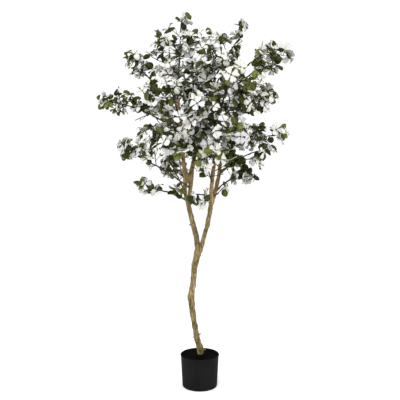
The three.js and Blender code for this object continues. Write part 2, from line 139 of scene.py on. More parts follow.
def lineThroughKnots(knots):
    table = np.array(knots, float)
    points, radii = table[:, :3], table[:, 3]
    last = len(points) - 1
    before, after = 2 * points[0] - points[1], 2 * points[last] - points[last - 1]

    def pointAt(t):
        place = last * t
        knot = min(math.floor(place), last - 1)
        w = place - knot
        p0 = points[knot - 1] if knot > 0 else before
        p1, p2 = points[knot], points[knot + 1]
        p3 = points[knot + 2] if knot + 2 <= last else after
        pull1, pull2 = (p2 - p0) / 2, (p3 - p1) / 2
        return (p1 + pull1 * w + (3 * (p2 - p1) - 2 * pull1 - pull2) * w ** 2
                + (2 * (p1 - p2) + pull1 + pull2) * w ** 3)

    def radiusAt(t):
        return float(np.interp(t * last, range(last + 1), radii))

    return Line(pointAt, radiusAt, back)


# an arch from start to end, drawn towards the middle point, tapering between two radii
def archedLine(start, middle, end, startRadius, endRadius):
    def pointAt(t):
        return start * (1 - t) ** 2 + middle * 2 * t * (1 - t) + end * t ** 2

    nearlyUpright = 0.05
    level = np.cross(unit(end - start), up)
    sideways = unit(level) if np.linalg.norm(level) > nearlyUpright else right
    return Line(pointAt, lambda t: mix(startRadius, endRadius, t), sideways)


# the same, drawn away from halfway by a bow, with the radii of a shape
def bowedLine(start, end, bow, shape):
    return archedLine(start, mix(start, end, 0.5) + bow, end, shape["radius"], shape["tipRadius"])


# trunk and limbs: knots of x, y, z and radius

woodLines = {
    "trunk": [
        (4, 0, 138, 16), (3, 0, 160, 15), (-3, 0, 200, 14.4), (-16, 0, 250, 13.8), (-30, -5, 335, 12.8),
        (-42, -12, 445, 16), (-32, -10, 520, 13.2), (-24, -4, 600, 14.8), (-11, 1, 662, 17),
        (-3, 2, 704, 18.5),
    ],
    "leftLimb": [
        (-9, 2, 668, 12), (-15, 4, 725, 13), (-23, 9, 770, 12.7), (-37, 14, 820, 12), (-52, 18, 879, 11.5),
        (-60, 17, 934, 12.5),
    ],
    "rightLimb": [
        (0, 2, 668, 11), (16, -4, 722, 10.5), (25, -11, 762, 9.4), (41, -20, 823, 10.7),
        (51, -25, 882, 10.6), (58, -29, 934, 10.6),
    ],
    "leftOuter": [
        (-59, 16, 905, 9), (-68, 8, 948, 9), (-73, 3, 987, 9.5), (-68, 4, 1037, 13.3), (-77, -14, 1098, 9.4),
        (-83, -29, 1177, 9), (-91, -42, 1266, 8.6), (-99, -49, 1345, 8.2), (-105, -54, 1404, 7.8),
    ],
    "leftInner": [
        (-59, 18, 905, 9), (-50, 22, 948, 9), (-45, 20, 987, 9.5), (-44, 10, 1037, 13.3),
        (-33, 36, 1102, 9.4), (-19, 56, 1179, 9), (4, 73, 1269, 8.6), (33, 84, 1359, 8.2),
        (60, 90, 1443, 7.6), (79, 94, 1547, 6.6),
    ],
    "rightInner": [
        (57, -28, 905, 8.5), (55, -40, 960, 9), (61, -52, 1038, 8.7), (68, -62, 1105, 8.6),
        (74, -71, 1180, 8.2),
    ],
    "rightOuter": [(58, -28, 905, 8.5), (72, -22, 955, 9), (91, -10, 1037, 9), (100, 2, 1112, 8.6)],
    "upperStem": [
        (74, -71, 1180, 5.6), (79.3, -79, 1246, 5.2), (94, -90, 1329, 4.8), (112, -94, 1407, 4.4),
        (138, -84, 1478, 4),
    ],
}
wood = {name: lineThroughKnots(knots) for name, knots in woodLines.items()}

# Sprays: the wood that carries each and how high, where its tip is, how far its spine arches up, the
# size of its twigs, the share of the spine that is a bare bough, and how far the spine arches back.
sprayTable = {
    "low_left": ("leftLimb", 922, (-338, -60, 1012), 15, 0.68, 0.34),
    "low_back_left": ("leftOuter", 950, (-190, 220, 1150), 30, 0.85),
    "small_left": ("leftOuter", 945, (-130, -150, 1000), 10, 0.7),
    "left_fork": ("leftInner", 980, (-402, -40, 1178), 40, 0.78, 0.4, -170),
    "front_left": ("leftOuter", 1118, (-176, -330, 1190), 60, 0.9),
    "back_left": ("leftOuter", 1180, (-270, 340, 1307), 60, 1, 0.32),
    "left_mid": ("leftOuter", 1248, (-522, 0, 1406), 65, 0.68, 0.3),
    "front_up_left": ("leftOuter", 1300, (-150, -290, 1450), 50),
    "left_upper": ("leftOuter", 1334, (-378, 20, 1650), 20, 0.8, 0.3),
    "left_top": ("leftOuter", 1354, (-207, -60, 1745), 15, 0.85, 0.28),
    "top_left": ("leftOuter", 1398, (-84, -10, 1848), 20, 0.8),
    "back_mid": ("leftInner", 1150, (0, 420, 1234), 60, 1, 0.3),
    "front_mid": ("leftInner", 1228, (-14, -390, 1347), 60, 1, 0.34),
    "front_high": ("leftInner", 1400, (50, -230, 1640), 40),
    "back_up_left": ("leftInner", 1322, (-167, 290, 1621), 50),
    "back_high": ("leftInner", 1378, (60, 330, 1500), 40),
    "top_middle": ("leftInner", 1440, (-2, 30, 1765), 10),
    "top_back": ("leftInner", 1500, (90, 130, 1755), 10),
    "back_up_right": ("leftInner", 1470, (193, 260, 1640), 40),
    "top_right": ("leftInner", 1536, (266, -20, 1758), 50, 0.8, 0.25),
    "low_front": ("rightLimb", 928, (-60, -190, 925), 40, 0.65),
    "small_right": ("rightOuter", 942, (122, -130, 945), 20, 0.5),
    "low_right": ("rightOuter", 966, (290, 30, 1018), 70, 0.9, 0.24),
    "inner_front": ("rightInner", 1010, (16, -240, 1092), 30, 0.85),
    "right_low": ("rightOuter", 1050, (368, -80, 1168), 55, 0.88, 0.24),
    "back_right": ("rightOuter", 1090, (270, 350, 1280), 60),
    "right_wide": ("rightInner", 1130, (448, -20, 1238), 55, 0.85, 0.34),
    "front_low": ("rightInner", 1085, (60, -300, 1150), 40),
    "front_right": ("rightInner", 1165, (163, -360, 1251), 60, 1, 0.3),
    "right_inner": ("upperStem", 1225, (275, -150, 1345), 50),
    "right_mid": ("upperStem", 1310, (403, 50, 1418), 80, 0.9, 0.3),
    "front_up_right": ("upperStem", 1360, (156, -320, 1482), 50),
    "right_upper": ("upperStem", 1415, (415, -70, 1574), 60, 0.72, 0.3),
    "right_top": ("upperStem", 1470, (422, 20, 1666), 60, 0.85, 0.3),
}
spineShape = {"bend": 0.45, "endShort": 80}
boughShape = {"radius": 4.2, "taper": 0.8}
stemShape = {"radius": 4, "tipRadius": 3.2, "bareShare": 0.24, "gap": 0.3}
twigShape = {
    "spacing": 49, "length": 120, "shorter": 0.65, "tipShare": 0.6, "turn": 137.5, "firstTurn": 40,
    "turnStray": 25, "spread": 60, "spreadStray": 10, "lengthDraw": (0.5, 1.15), "flatness": 0.6,
    "lift": 0.2, "radius": 1.6, "tipRadius": 1.4, "checks": (0.4, 0.7, 1),
}
clusterShape = {  # three twiglets splayed at a twig's end, reach and width of what grows on each
    "beyond": 1, "reach": 88, "width": 66, "widest": 0.54, "splays": (-84, 0, 84), "splayStray": 5,
    "tilt": 22, "roll": 35, "tries": 12,
}
blossomShape = {
    "corners": 12, "cornersPerPetal": 3, "radius": 40, "valley": 0.46, "cup": 8, "offCentre": 8, "sunk": 3,
    "along": 1, "twigLength": 0.6, "turn": 180,
}
growSeeds = {"spray": 1000, "twig": 10, "first": 1, "tip": 999}
facing = {"stray": 1, "outwards": 0.35, "up": 0.4}
apart = {"cluster": 45, "blossom": 38}
room = {"own": 2.2, "wood": 2.5}
stretchCounts = {"wood": 24, "bough": 6, "spine": 16}
crownCentre = np.array([0, 0, 1250])


class Spray:
    def __init__(self, index, name, carrierName, height, tip, rise, size=1, boughShare=None, swing=0):
        self.index, self.name, self.size, self.boughShare = index, name, size, boughShare
        carrier = wood[carrierName]
        place = carrier.atHeight(height)
        start, tip = carrier.pointAt(place), np.array(tip, float)
        middle = mix(start, tip, spineShape["bend"]) + up * rise + back * swing
        end = tip - unit(tip - middle) * spineShape["endShort"]
        radius = boughShape["radius"]
        self.bough = archedLine(start, middle, end, radius, radius * boughShape["taper"])
        self.stem = archedLine(start, middle, end, stemShape["radius"], stemShape["tipRadius"])
        self.length = np.linalg.norm(end - start)
        self.carrierRadius = carrier.radiusAt(place)


sprays = [Spray(i, name, *row) for i, (name, row) in enumerate(sprayTable.items())]
onBoughs = [spray for spray in sprays if spray.boughShare]

spineStretches = [spray.stem.stretches(0, 1, stretchCounts["spine"]) for spray in sprays]
woodStretches = [line.stretches(0, 1, stretchCounts["wood"]) for line in wood.values()] + [
    spray.bough.stretches(0, spray.boughShare, stretchCounts["bough"]) for spray in onBoughs
]


# Distances from points to many straight stretches at once.
class Nearness:
    def __init__(self, rows):
        self.starts, ends, self.radii = (np.concatenate(part) for part in zip(*rows))
        self.ways = ends - self.starts
        self.squares = (self.ways ** 2).sum(1)

    def distances(self, points):
        offsets = points[:, None] - self.starts
        shares = np.clip((offsets * self.ways).sum(2) / self.squares, 0, 1)
        return np.linalg.norm(offsets - shares[..., None] * self.ways, axis=2) - self.radii


nearSpines, nearWood = Nearness(spineStretches), Nearness(woodStretches)


def clearOfWood(points, distance):
    return nearWood.distances(np.array(points)).min() > distance


# whether all of the points lie in the spray's own space and clear of the wood
def hasRoom(points, spray):
    points = np.array(points)
    toSpines = nearSpines.distances(points).reshape(len(points), len(sprays), -1).min(2)
    own = toSpines[:, spray.index].copy()
    toSpines[:, spray.index] = np.inf
    clear = toSpines.min(1) > own + 2 * room["own"]
    return bool(clear.all() and clearOfWood(points, room["wood"]))


def isFree(middle, width, taken):
    return all(np.linalg.norm(other - middle) > (wide + width) / 2 for other, wide in taken)


# a direction that faces any way, but rather up and out of the crown than down and in
def looseFace(point, draw, weights=facing):
    outwards = unit(point - crownCentre)
    return unit(anyWay(draw) * weights["stray"] + outwards * weights["outwards"] + up * weights["up"])


# a twig that leaves a spray's stem at t, or nothing where it has no room
def twigFrom(spray, t, turned, lengthShare, draw):
    shape = twigShape
    point, along, side, front = spray.stem.frameAt(t)
    stray = draw(-shape["turnStray"], shape["turnStray"])
    turn = math.radians(turned + spray.index * shape["firstTurn"] + stray)
    outwards = side * math.cos(turn) + front * math.sin(turn) * shape["flatness"] + up * shape["lift"]
    spread = math.radians(shape["spread"] + draw(-shape["spreadStray"], shape["spreadStray"]))
    direction = leaned(along, unit(outwards), spread)
    length = shape["length"] * spray.size * mix(1, shape["tipShare"], t) * draw(*shape["lengthDraw"])
    for share in (1, shape["shorter"]):
        twig = bowedLine(point, point + direction * length * lengthShare * share, 0, shape)
        if hasRoom([twig.pointAt(place) for place in shape["checks"]], spray):
            return twig
    return None


# one twiglet's direction, side and reach within a cluster
def twigletAt(centre, along, face, across, splay, size, draw):
    shape = clusterShape
    reach, width = shape["reach"] * size, shape["width"] * size
    angle = math.radians(splay + draw(-shape["splayStray"], shape["splayStray"]))
    tilt = math.radians(draw(-shape["tilt"], shape["tilt"]))
    roll = math.radians(draw(-shape["roll"], shape["roll"]))
    direction = leaned(leaned(along, across, angle), face, tilt)
    side = leaned(leaned(along, across, angle + quarter), face, roll)
    places = ((shape["widest"], -0.5), (1, 0), (shape["widest"], 0.5))
    corners = [centre + direction * reach * far + side * width * wide for far, wide in places]
    return {"start": centre, "along": direction, "side": side, "corners": corners,
            "middle": centre + direction * reach / 2}


# the twiglets that have room at the end of a line, turned a few times to find the most
def twigletsOn(line, spray, draw, taken):
    point, along, _, _ = line.frameAt(1)
    centre = point + along * clusterShape["beyond"]
    best = []
    for _ in range(clusterShape["tries"]):
        across = unit(np.cross(along, looseFace(centre, draw)))
        face = np.cross(across, along)
        found = [twigletAt(centre, along, face, across, splay, spray.size, draw)
                 for splay in clusterShape["splays"]]
        found = [each for each in found
                 if hasRoom(each["corners"], spray) and isFree(each["middle"], apart["cluster"], taken)]
        if len(found) > len(best):
            best = found
        if len(best) == len(clusterShape["splays"]):
            break
    taken.extend((each["middle"], apart["cluster"]) for each in best)
    return best


# a blossom on the end of a twig, turned until it has room, or nothing
def blossomOn(line, spray, draw, taken):
    shape = blossomShape
    point, along, side, _ = line.frameAt(1)
    for _ in range(clusterShape["tries"]):
        face = unit(looseFace(point, draw) + along * shape["along"])
        middle = point + face * shape["sunk"] + side * shape["offCentre"]
        across = unit(np.cross(side, face))
        upright = np.cross(across, face)
        ring = []
        for corner in range(shape["corners"]):
            notch = corner % shape["cornersPerPetal"] == 0
            way = leaned(across, upright, 2 * math.pi * corner / shape["corners"])
            ring.append(middle + way * shape["radius"] * (shape["valley"] if notch else 1)
                        + face * (0 if notch else shape["cup"]))
        if hasRoom(ring, spray) and isFree(middle, apart["blossom"], taken):
            taken.append((middle, apart["blossom"]))
            return [{"middle": middle, "face": face, "across": across, "along": along}]
    return []


# All the twigs, twiglets and blossom places of one spray.
def growSpray(spray):
    stem = spray.stem
    start = stem.further(spray.boughShare, stemShape["gap"]) if spray.boughShare else 0
    joints = round(spray.length * (1 - start) / twigShape["spacing"])
    seed = growSeeds["spray"] * spray.index
    taken = []
    spray.twigs, spray.blossoms = [], []
    spray.twiglets = twigletsOn(stem, spray, drawsFrom(seed + growSeeds["tip"]), taken)
    for number in range(joints):
        t = start + (1 - start) * (number + 1) / (joints + 1)
        if t <= stemShape["bareShare"]:
            continue
        draw = drawsFrom(seed + growSeeds["twig"] * number + growSeeds["first"])
        turned = number * twigShape["turn"]
        leafy = twigFrom(spray, t, turned, 1, draw)
        twiglets = twigletsOn(leafy, spray, draw, taken) if leafy else []
        if twiglets:
            spray.twigs.append(leafy)
            spray.twiglets.extend(twiglets)
        short = twigFrom(spray, t, turned + blossomShape["turn"], blossomShape["twigLength"], draw)
        blossoms = blossomOn(short, spray, draw, taken) if short else []
        if blossoms:
            spray.twigs.append(short)
            spray.blossoms.extend(blossoms)


for spray in sprays:
    growSpray(spray)
print("grown:", sum(len(s.twigs) for s in sprays), "twigs,", sum(len(s.twiglets) for s in sprays),
      "twiglets,", sum(len(s.blossoms) for s in sprays), "blossoms")


# objects and meshes

def linked(name, data):
    made = bpy.data.objects.new(name, data)
    bpy.context.scene.collection.objects.link(made)
    return made


def smoothMesh(name, points, faces):
    mesh = bpy.data.meshes.new(name)
    mesh.from_pydata((np.asarray(points) * mm).tolist(), [], faces)
    mesh.polygons.foreach_set("use_smooth", [True] * len(faces))
    return mesh


def placed(name, mesh, materials):
    for material in materials:
        mesh.materials.append(material)
    mesh.update()
    made = linked(name, mesh)
    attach(made, "root")
    return made


aslant = right + 0.3 * back


# Many small closed shapes that become one object. A shape is a row of rings, whose corners turn
# right-handed about the way that the rings follow.
class Bunch:
    def __init__(self):
        self.points, self.faces, self.slots, self.count = [], [], [], 0

    def add(self, points, faces, slots):
        self.faces.extend(tuple(corner + self.count for corner in face) for face in faces)
        self.slots.extend(slots)
        self.points.append(np.asarray(points))
        self.count += len(points)

    # ringSlots holds the material of each face round a ring, ends are closed flat or in a point
    def loft(self, rings, ringSlots, startPoint=None, endPoint=None, endFaces=None):
        rings = np.asarray(rings)
        rows, around = rings.shape[:2]
        faces, slots = [], []
        for row in range(rows - 1):
            low, high = row * around, (row + 1) * around
            for j in range(around):
                k = (j + 1) % around
                faces.append((low + j, low + k, high + k, high + j))
                slots.append(ringSlots[j])
        points = list(rings.reshape(-1, 3))
        top = (rows - 1) * around
        if startPoint is None:
            faces.append(tuple(reversed(range(around))))
            slots.append(ringSlots[0])
        else:
            points.append(startPoint)
            faces.extend((len(points) - 1, (j + 1) % around, j) for j in range(around))
            slots.extend(ringSlots)
        if endPoint is not None:
            points.append(endPoint)
            faces.extend((top + j, top + (j + 1) % around, len(points) - 1) for j in range(around))
            slots.extend(ringSlots)
        else:
            ends = endFaces or [tuple(range(around))]
            faces.extend(tuple(top + j for j in face) for face in ends)
            slots.extend(ringSlots[0] for _ in ends)
        self.add(points, faces, slots)

    # a round rod through centres, each with its own radius
    def rod(self, centres, radii, sides, slot):
        centres = np.asarray(centres, float)
        ways = np.gradient(centres, axis=0)
        side = squareTo(aslant, unit(ways[0]))
        angles = -2 * math.pi * np.arange(sides) / sides
        rings = []
        for centre, way, radius in zip(centres, ways, radii):
            along = unit(way)
            side = squareTo(side, along)
            front = np.cross(side, along)
            rings.append(centre + radius * (np.outer(np.cos(angles), side) + np.outer(np.sin(angles), front)))
        self.loft(rings, [slot] * sides)

    def makeObject(self, name, materials, slot):
        mesh = smoothMesh(name, np.concatenate(self.points), self.faces)
        mesh.polygons.foreach_set("material_index", self.slots)
        return placed(name, mesh, materials)


# A node socket, so that shader maths reads as plain expressions.
class Socket:
    def __init__(self, finish, output):
        self.finish, self.output = finish, output

    def maths(self, operation, first, second):
        return self.finish.node("Math", {"operation": operation}, {0: first, 1: second})

    def __add__(self, other):
        return self.maths("ADD", self, other)

    def __sub__(self, other):
        return self.maths("SUBTRACT", self, other)

    def __rsub__(self, other):
        return self.maths("SUBTRACT", other, self)

    def __mul__(self, other):
        return self.maths("MULTIPLY", self, other)

    __radd__, __rmul__ = __add__, __mul__


# A material with one principled shader. Plain values go straight onto the shader's sockets.
class Finish:
    def __init__(self, name, **plain):
        self.material = bpy.data.materials.new(name)
        self.material.use_nodes = True
        self.tree = self.material.node_tree
        self.shader = self.tree.nodes["Principled BSDF"]
        self.feed(self.shader, plain)

    def feed(self, node, values):
        for key, value in values.items():
            socket = node.inputs[key.replace("_", " ") if isinstance(key, str) else key]
            if isinstance(value, Socket):
                self.tree.links.new(value.output, socket)
            else:
                socket.default_value = value

    def node(self, kind, settings, values, output=0):
        made = self.tree.nodes.new("ShaderNode" + kind)
        for key, value in settings.items():
            if key == "stops":
                ramp = made.color_ramp.elements
                while len(ramp) < len(value):
                    ramp.new(1)
                for element, (position, colour) in zip(ramp, value):
                    element.position, element.color = position, (*colour, 1)
            else:
                setattr(made, key, value)
        self.feed(made, values)
        return Socket(self, made.outputs[output])

    # noise on the piece's own coordinates, in cells per metre along x, y and z
    def noise(self, cells, detail=3, roughness=0.55):
        place = self.node("TexCoord", {}, {}, "Object")
        scaled = self.node("Mapping", {}, {"Vector": place, "Scale": cells})
        return self.node("TexNoise", {},
                         {"Vector": scaled, "Scale": 1, "Detail": detail, "Roughness": roughness})

    # one number that goes from 0 at the first value to 1 at the second
    def between(self, value, low, high):
        return self.node("MapRange", {}, {"Value": value, "From Min": low, "From Max": high})

    def ramp(self, share, stops):
        return self.node("ValToRGB", {"stops": stops}, {"Fac": share})

    # from what is there, a colour or another blend, towards a colour
    def blend(self, share, under, colour):
        return self.node("Mix", {"data_type": "RGBA"}, {0: share, 6: under, 7: rgb(*colour)}, 2)

    # feeds the shader, with a bump of a depth in metres and a strength, and gives the material
    def done(self, values, height, depth, strength=1):
        self.feed(self.shader, values)
        normal = self.node("Bump", {}, {"Height": height, "Distance": depth, "Strength": strength})
        self.feed(self.shader, {"Normal": normal})
        return self.material


def rgb(red, green, blue):
    return (red, green, blue, 1)


def plainFinish(name, colour, roughness, specular):
    return Finish(name, Base_Color=rgb(*colour), Roughness=roughness, Specular_IOR_Level=specular).material


# pot and fill

potShape = {
    "height": 158, "topRadius": 94.4, "baseRadius": 86.6, "rounding": 4, "roundSteps": 5, "wall": 2.6,
    "wallSteps": 6, "floor": 3, "floorEdge": 10, "soleEdge": 14, "soleGap": 1,
    "rimRadius": 96.2, "rimDepth": 4, "underRim": 0.6, "rimFoot": ((-0.7, -0.5), (0, 0.2)), "beadSteps": 12,
    "sides": 128,
}
fillShape = {
    "level": 151, "depth": 12, "edgeGap": 0.3, "bevel": 1, "sides": 96, "rings": 26, "mound": 14,
    "moundRadius": 60, "relief": 0.9, "grains": ((9, 0.6), (3.5, 0.4)),
}


# a profile of radii and heights, from the axis and back to it, turned round the axis
def lathed(name, profile, sides, materials):
    profile = np.asarray(profile, float)
    angles = 2 * math.pi * np.arange(sides) / sides
    points = [(0, 0, profile[0][1])]
    for radius, height in profile[1:-1]:
        points.extend((radius * math.cos(a), radius * math.sin(a), height) for a in angles)
    points.append((0, 0, profile[-1][1]))
    faces = []
    rings = len(profile) - 2
    for j in range(sides):
        k = (j + 1) % sides
        faces.append((0, 1 + k, 1 + j))
        for ring in range(rings - 1):
            low, high = 1 + ring * sides, 1 + (ring + 1) * sides
            faces.append((low + j, low + k, high + k, high + j))
        top = 1 + (rings - 1) * sides
        faces.append((top + j, top + k, len(points) - 1))
    return placed(name, smoothMesh(name, points, faces), materials)


def arc(centre, radius, start, end, steps):
    turns = [math.radians(turn) for turn in evenly(start, end, steps)]
    return [(centre[0] + radius * math.cos(turn), centre[1] + radius * math.sin(turn)) for turn in turns]


# the points of a straight stretch of profile after its start
def straight(start, end, steps):
    return list(zip(evenly(start[0], end[0], steps), evenly(start[1], end[1], steps)))[1:]


def makePot(material):
    p = potShape
    base, top, rim, wall = p["baseRadius"], p["topRadius"], p["rimRadius"], p["wall"]
    rounding, floor, rimUnder = p["rounding"], p["floor"], p["height"] - p["rimDepth"]
    bead = (rim - top + wall) / 2
    lip = p["height"] - bead
    profile = [(0, 0), (base - p["soleEdge"], 0), (base - rounding - p["soleGap"], 0)]
    profile += arc((base - rounding, rounding), rounding, -90, 0, p["roundSteps"])
    profile += straight((base, rounding), (top, rimUnder - p["underRim"]), p["wallSteps"])
    profile += [(rim + out, rimUnder + rise) for out, rise in p["rimFoot"]]
    profile += arc((rim - bead, lip), bead, 0, 180, p["beadSteps"])
    profile += straight((top - wall, lip), (base - wall, floor), p["wallSteps"])
    profile += [(base - p["floorEdge"], floor), (0, floor)]
    return lathed("pot_shell", profile, p["sides"], [material])


def makeFill(material):
    f = fillShape
    level, bevel = f["level"], f["bevel"]
    edge = potShape["topRadius"] - potShape["wall"] - f["edgeGap"]
    foot = wood["trunk"].pointAt(wood["trunk"].atHeight(level))
    bottom = level - f["depth"]
    profile = [(0, bottom), (edge - bevel, bottom), (edge, bottom + bevel)]
    profile += [(edge * (1 - i / f["rings"]), level) for i in range(f["rings"])] + [(0, level)]
    made = lathed("fill_top", profile, f["sides"], [material])
    for vertex in made.data.vertices:
        place = vertex.co / mm
        if place.z < level - 1:
            continue
        far = (Vector((place.x, place.y)) - Vector(foot[:2])).length
        mound = f["mound"] * max(0, 1 - far / f["moundRadius"]) ** 2
        rough = sum(noise.noise(place / size) * share for size, share in f["grains"])
        vertex.co.z += (mound + f["relief"] * rough) * mm
    return made


# trunk and limbs

trunkFoot = 138
woodPieces = {  # stretches of the lines above, from one height to another
    "trunk": [("trunk", trunkFoot, 704), ("leftLimb", 668, 752), ("rightLimb", 668, 750)],
    "limb_left": [("leftLimb", 752, 934), ("leftOuter", 905, 1066), ("leftInner", 905, 1068)],
    "limb_right": [("rightLimb", 750, 934), ("rightInner", 905, 984), ("rightOuter", 905, 986)],
    "limb_left_outer": [("leftOuter", 1066, 1404)],
    "limb_left_inner": [("leftInner", 1068, 1547)],
    "limb_right_inner": [("rightInner", 984, 1180)],
    "limb_right_outer": [("rightOuter", 986, 1112)],
}
barkShape = {
    "voxel": 1.9, "sides": 20, "step": 7, "overlap": 2.5, "footInFill": 13, "smoothing": 4,
    "smoothFactor": 0.5, "lump": 1.9, "lumpSize": 24, "ridge": 1.05, "ridgeSize": (6, 6, 30),
    "grain": 0.4, "grainSize": (2.6, 2.6, 9), "dimple": 0.45, "dimpleWidth": 0.35,
}
cutShape = {"flatDepth": 2.2, "faceDepth": 2.0, "facing": 0.7}
# on which line, how high, the turn round it in degrees from the right, size and height of the swelling
knots = [
    ("trunk", 192, -12, 12, 6), ("trunk", 186, -75, 9, 3.4), ("trunk", 232, 175, 8, 3.2),
    ("trunk", 262, -70, 7, 2.6), ("trunk", 300, 10, 8, 2.8), ("trunk", 335, 260, 8, 2.6),
    ("trunk", 372, 200, 8, 3), ("trunk", 412, 350, 8, 2.6), ("trunk", 446, 185, 15, 3.8),
    ("trunk", 480, 280, 8, 2.6), ("trunk", 505, 20, 7, 2.6), ("trunk", 540, 200, 8, 2.6),
    ("trunk", 566, 250, 8, 2.6), ("trunk", 604, 180, 9, 3.6), ("trunk", 628, 300, 9, 3),
    ("trunk", 655, 330, 9, 2.8), ("leftLimb", 760, 200, 7, 2.4), ("leftLimb", 800, 290, 7, 2.2),
    ("leftLimb", 842, 20, 8, 2.6), ("rightLimb", 802, -20, 7, 2.4), ("rightLimb", 876, 190, 7, 2.4),
    ("leftOuter", 1090, 200, 7, 2), ("leftInner", 1130, -40, 7, 2), ("leftInner", 1300, 180, 6, 1.8),
    ("rightInner", 1060, 0, 6, 1.8),
]
nubs = [  # short broken twigs: line, height, turn, length and radius at the foot
    ("trunk", 247, 0, 15, 4.2), ("trunk", 240, 180, 9, 3.6), ("trunk", 171, -14, 17, 6),
    ("trunk", 162, -52, 10, 5), ("trunk", 160, -110, 6, 5), ("trunk", 345, 160, 7, 3),
    ("trunk", 470, 350, 6, 2.6), ("leftLimb", 800, 175, 8, 2.8),
]
nubShape = {"lean": 0.35, "sunk": 0.5, "steps": 4, "foot": 1.25, "taper": 0.2, "sides": 10}
cutEnds = {"limb_left_outer": "leftOuter", "limb_left_inner": "leftInner",
           "limb_right_inner": "rightInner", "limb_right_outer": "rightOuter"}


def onSurface(line, height, turn):
    t = line.atHeight(height)
    point, along, _, _ = line.frameAt(t)
    outwards = leaned(squareTo(right, along), squareTo(back, along), math.radians(turn))
    return point, along, outwards, line.radiusAt(t)


def woodRod(bunch, name, low, high):
    line = wood[name]
    steps = max(3, round((high - low) / barkShape["step"]))
    places = evenly(line.atHeight(low), line.atHeight(high), steps)
    bunch.rod([line.pointAt(t) for t in places], [line.radiusAt(t) for t in places], barkShape["sides"], 0)


def nubRod(bunch, lineName, height, turn, length, radius):
    n = nubShape
    point, along, outwards, around = onSurface(wood[lineName], height, turn)
    way = unit(outwards + along * n["lean"])
    start = around * n["sunk"]
    steps = range(n["steps"] + 1)
    bunch.rod([point + way * (start + (start + length) * i / n["steps"]) for i in steps],
              [radius * (n["foot"] - n["taper"] * i) for i in steps], n["sides"], 0)


# how far the bark stands out at each point, from noise stretched along the grain
def barkRelief(points):
    b = barkShape
    ridge, grain = np.array(b["ridgeSize"]), np.array(b["grainSize"])
    relief = np.empty(len(points))
    for i, point in enumerate(points):
        lump = noise.noise(Vector(point / b["lumpSize"]))
        sharp = 1 - 2 * abs(noise.noise(Vector(point / ridge)))
        fine = noise.noise(Vector(point / grain))
        relief[i] = b["lump"] * lump + b["ridge"] * sharp + b["grain"] * fine
    for name, height, turn, size, rise in knots:
        point, _, outwards, radius = onSurface(wood[name], height, turn)
        far = np.linalg.norm(points - (point + outwards * radius), axis=1) / size
        relief += rise * np.exp(-far ** 2) - b["dimple"] * rise * np.exp(-(far / b["dimpleWidth"]) ** 2)
    return relief


# one closed skin round the rods of a bunch
def skinOf(made):
    remesh = made.modifiers.new("skin", "REMESH")
    remesh.mode, remesh.voxel_size, remesh.use_smooth_shade = "VOXEL", barkShape["voxel"] * mm, True
    smooth = made.modifiers.new("soften", "SMOOTH")
    smooth.factor, smooth.iterations = barkShape["smoothFactor"], barkShape["smoothing"]
    evaluated = made.evaluated_get(bpy.context.evaluated_depsgraph_get())
    mesh = bpy.data.meshes.new_from_object(evaluated)
    made.modifiers.clear()
    return mesh


def makeWood(name, materials):
    bunch = Bunch()
    for lineName, low, high in woodPieces[name]:
        inwards = barkShape["footInFill"] if low == trunkFoot else -barkShape["overlap"]
        woodRod(bunch, lineName, low + inwards, high)
    for nub in nubs:
        if any(nub[0] == each and low < nub[1] < high for each, low, high in woodPieces[name]):
            nubRod(bunch, *nub)
    made = bunch.makeObject(name + "_bark", materials, "wood")
    mesh = made.data = skinOf(made)
    for material in materials:
        if material.name not in mesh.materials:
            mesh.materials.append(material)
    count = len(mesh.vertices)
    points, normals = np.empty(count * 3), np.empty(count * 3)
    mesh.vertices.foreach_get("co", points)
    mesh.vertices.foreach_get("normal", normals)
    points, normals = points.reshape(-1, 3) / mm, normals.reshape(-1, 3)
    relief = barkRelief(points)
    cutLine = wood.get(cutEnds.get(name))
    if cutLine:
        end, along, _, _ = cutLine.frameAt(cutLine.atHeight(woodPieces[name][0][2]))
        relief[(points - end) @ along > -cutShape["flatDepth"]] = 0
    mesh.vertices.foreach_set("co", ((points + normals * relief[:, None]) * mm).ravel())
    mesh.update()
    if cutLine:
        for face in mesh.polygons:
            near = (np.array(face.center) / mm - end) @ along > -cutShape["faceDepth"]
            face.material_index = int(near and np.array(face.normal) @ along > cutShape["facing"])
    mesh.polygons.foreach_set("use_smooth", [True] * len(mesh.polygons))
    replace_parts(made, name)
    return made


# boughs, stems, twigs

rodShape = {
    "bough": {"step": 12, "sides": 8, "girth": 1, "wobble": 1.7, "knobble": 0.22, "collar": 1.7},
    "stem": {"step": 12, "sides": 7, "girth": 1, "wobble": 1.8, "knobble": 0.2, "collar": 1.5},
    "twig": {"step": 11, "sides": 6, "girth": 1.3, "wobble": 1.6, "knobble": 0.2, "collar": 1.25},
    "twiglet": {"step": 9, "sides": 5, "girth": 1.2, "wobble": 1.1, "knobble": 0.18, "collar": 1.2},
}
jointShape = {"every": 3, "waist": -0.4, "draw": (0.5, 1.2), "collarLength": 14}


# a rod with a collar at its foot, swollen joints and a slight zigzag
def knobblyRod(bunch, line, start, end, kind, slot, draw, foot=0, tipShare=1.0):
    shape, joints = rodShape[kind], jointShape
    length = np.linalg.norm(line.pointAt(end) - line.pointAt(start))
    count = max(3, round(length / shape["step"]))
    centres, radii = [], []
    for i in range(count + 1):
        t = mix(start, end, i / count)
        point, _, side, front = line.frameAt(t)
        wobble = shape["wobble"] if 0 < i < count else 0
        centres.append(point + side * draw(-wobble, wobble) + front * draw(-wobble, wobble))
        swelling = 1 if i % joints["every"] == joints["every"] - 1 else joints["waist"]
        joint = 1 + shape["knobble"] * swelling * draw(*joints["draw"])
        away = np.linalg.norm(point - line.pointAt(start)) - foot
        collar = mix(shape["collar"], 1, min(1, max(0, away) / joints["collarLength"]))
        radii.append(line.radiusAt(t) * shape["girth"] * joint * collar * mix(1, tipShare, i / count))
    bunch.rod(centres, radii, shape["sides"], slot)


# leaves

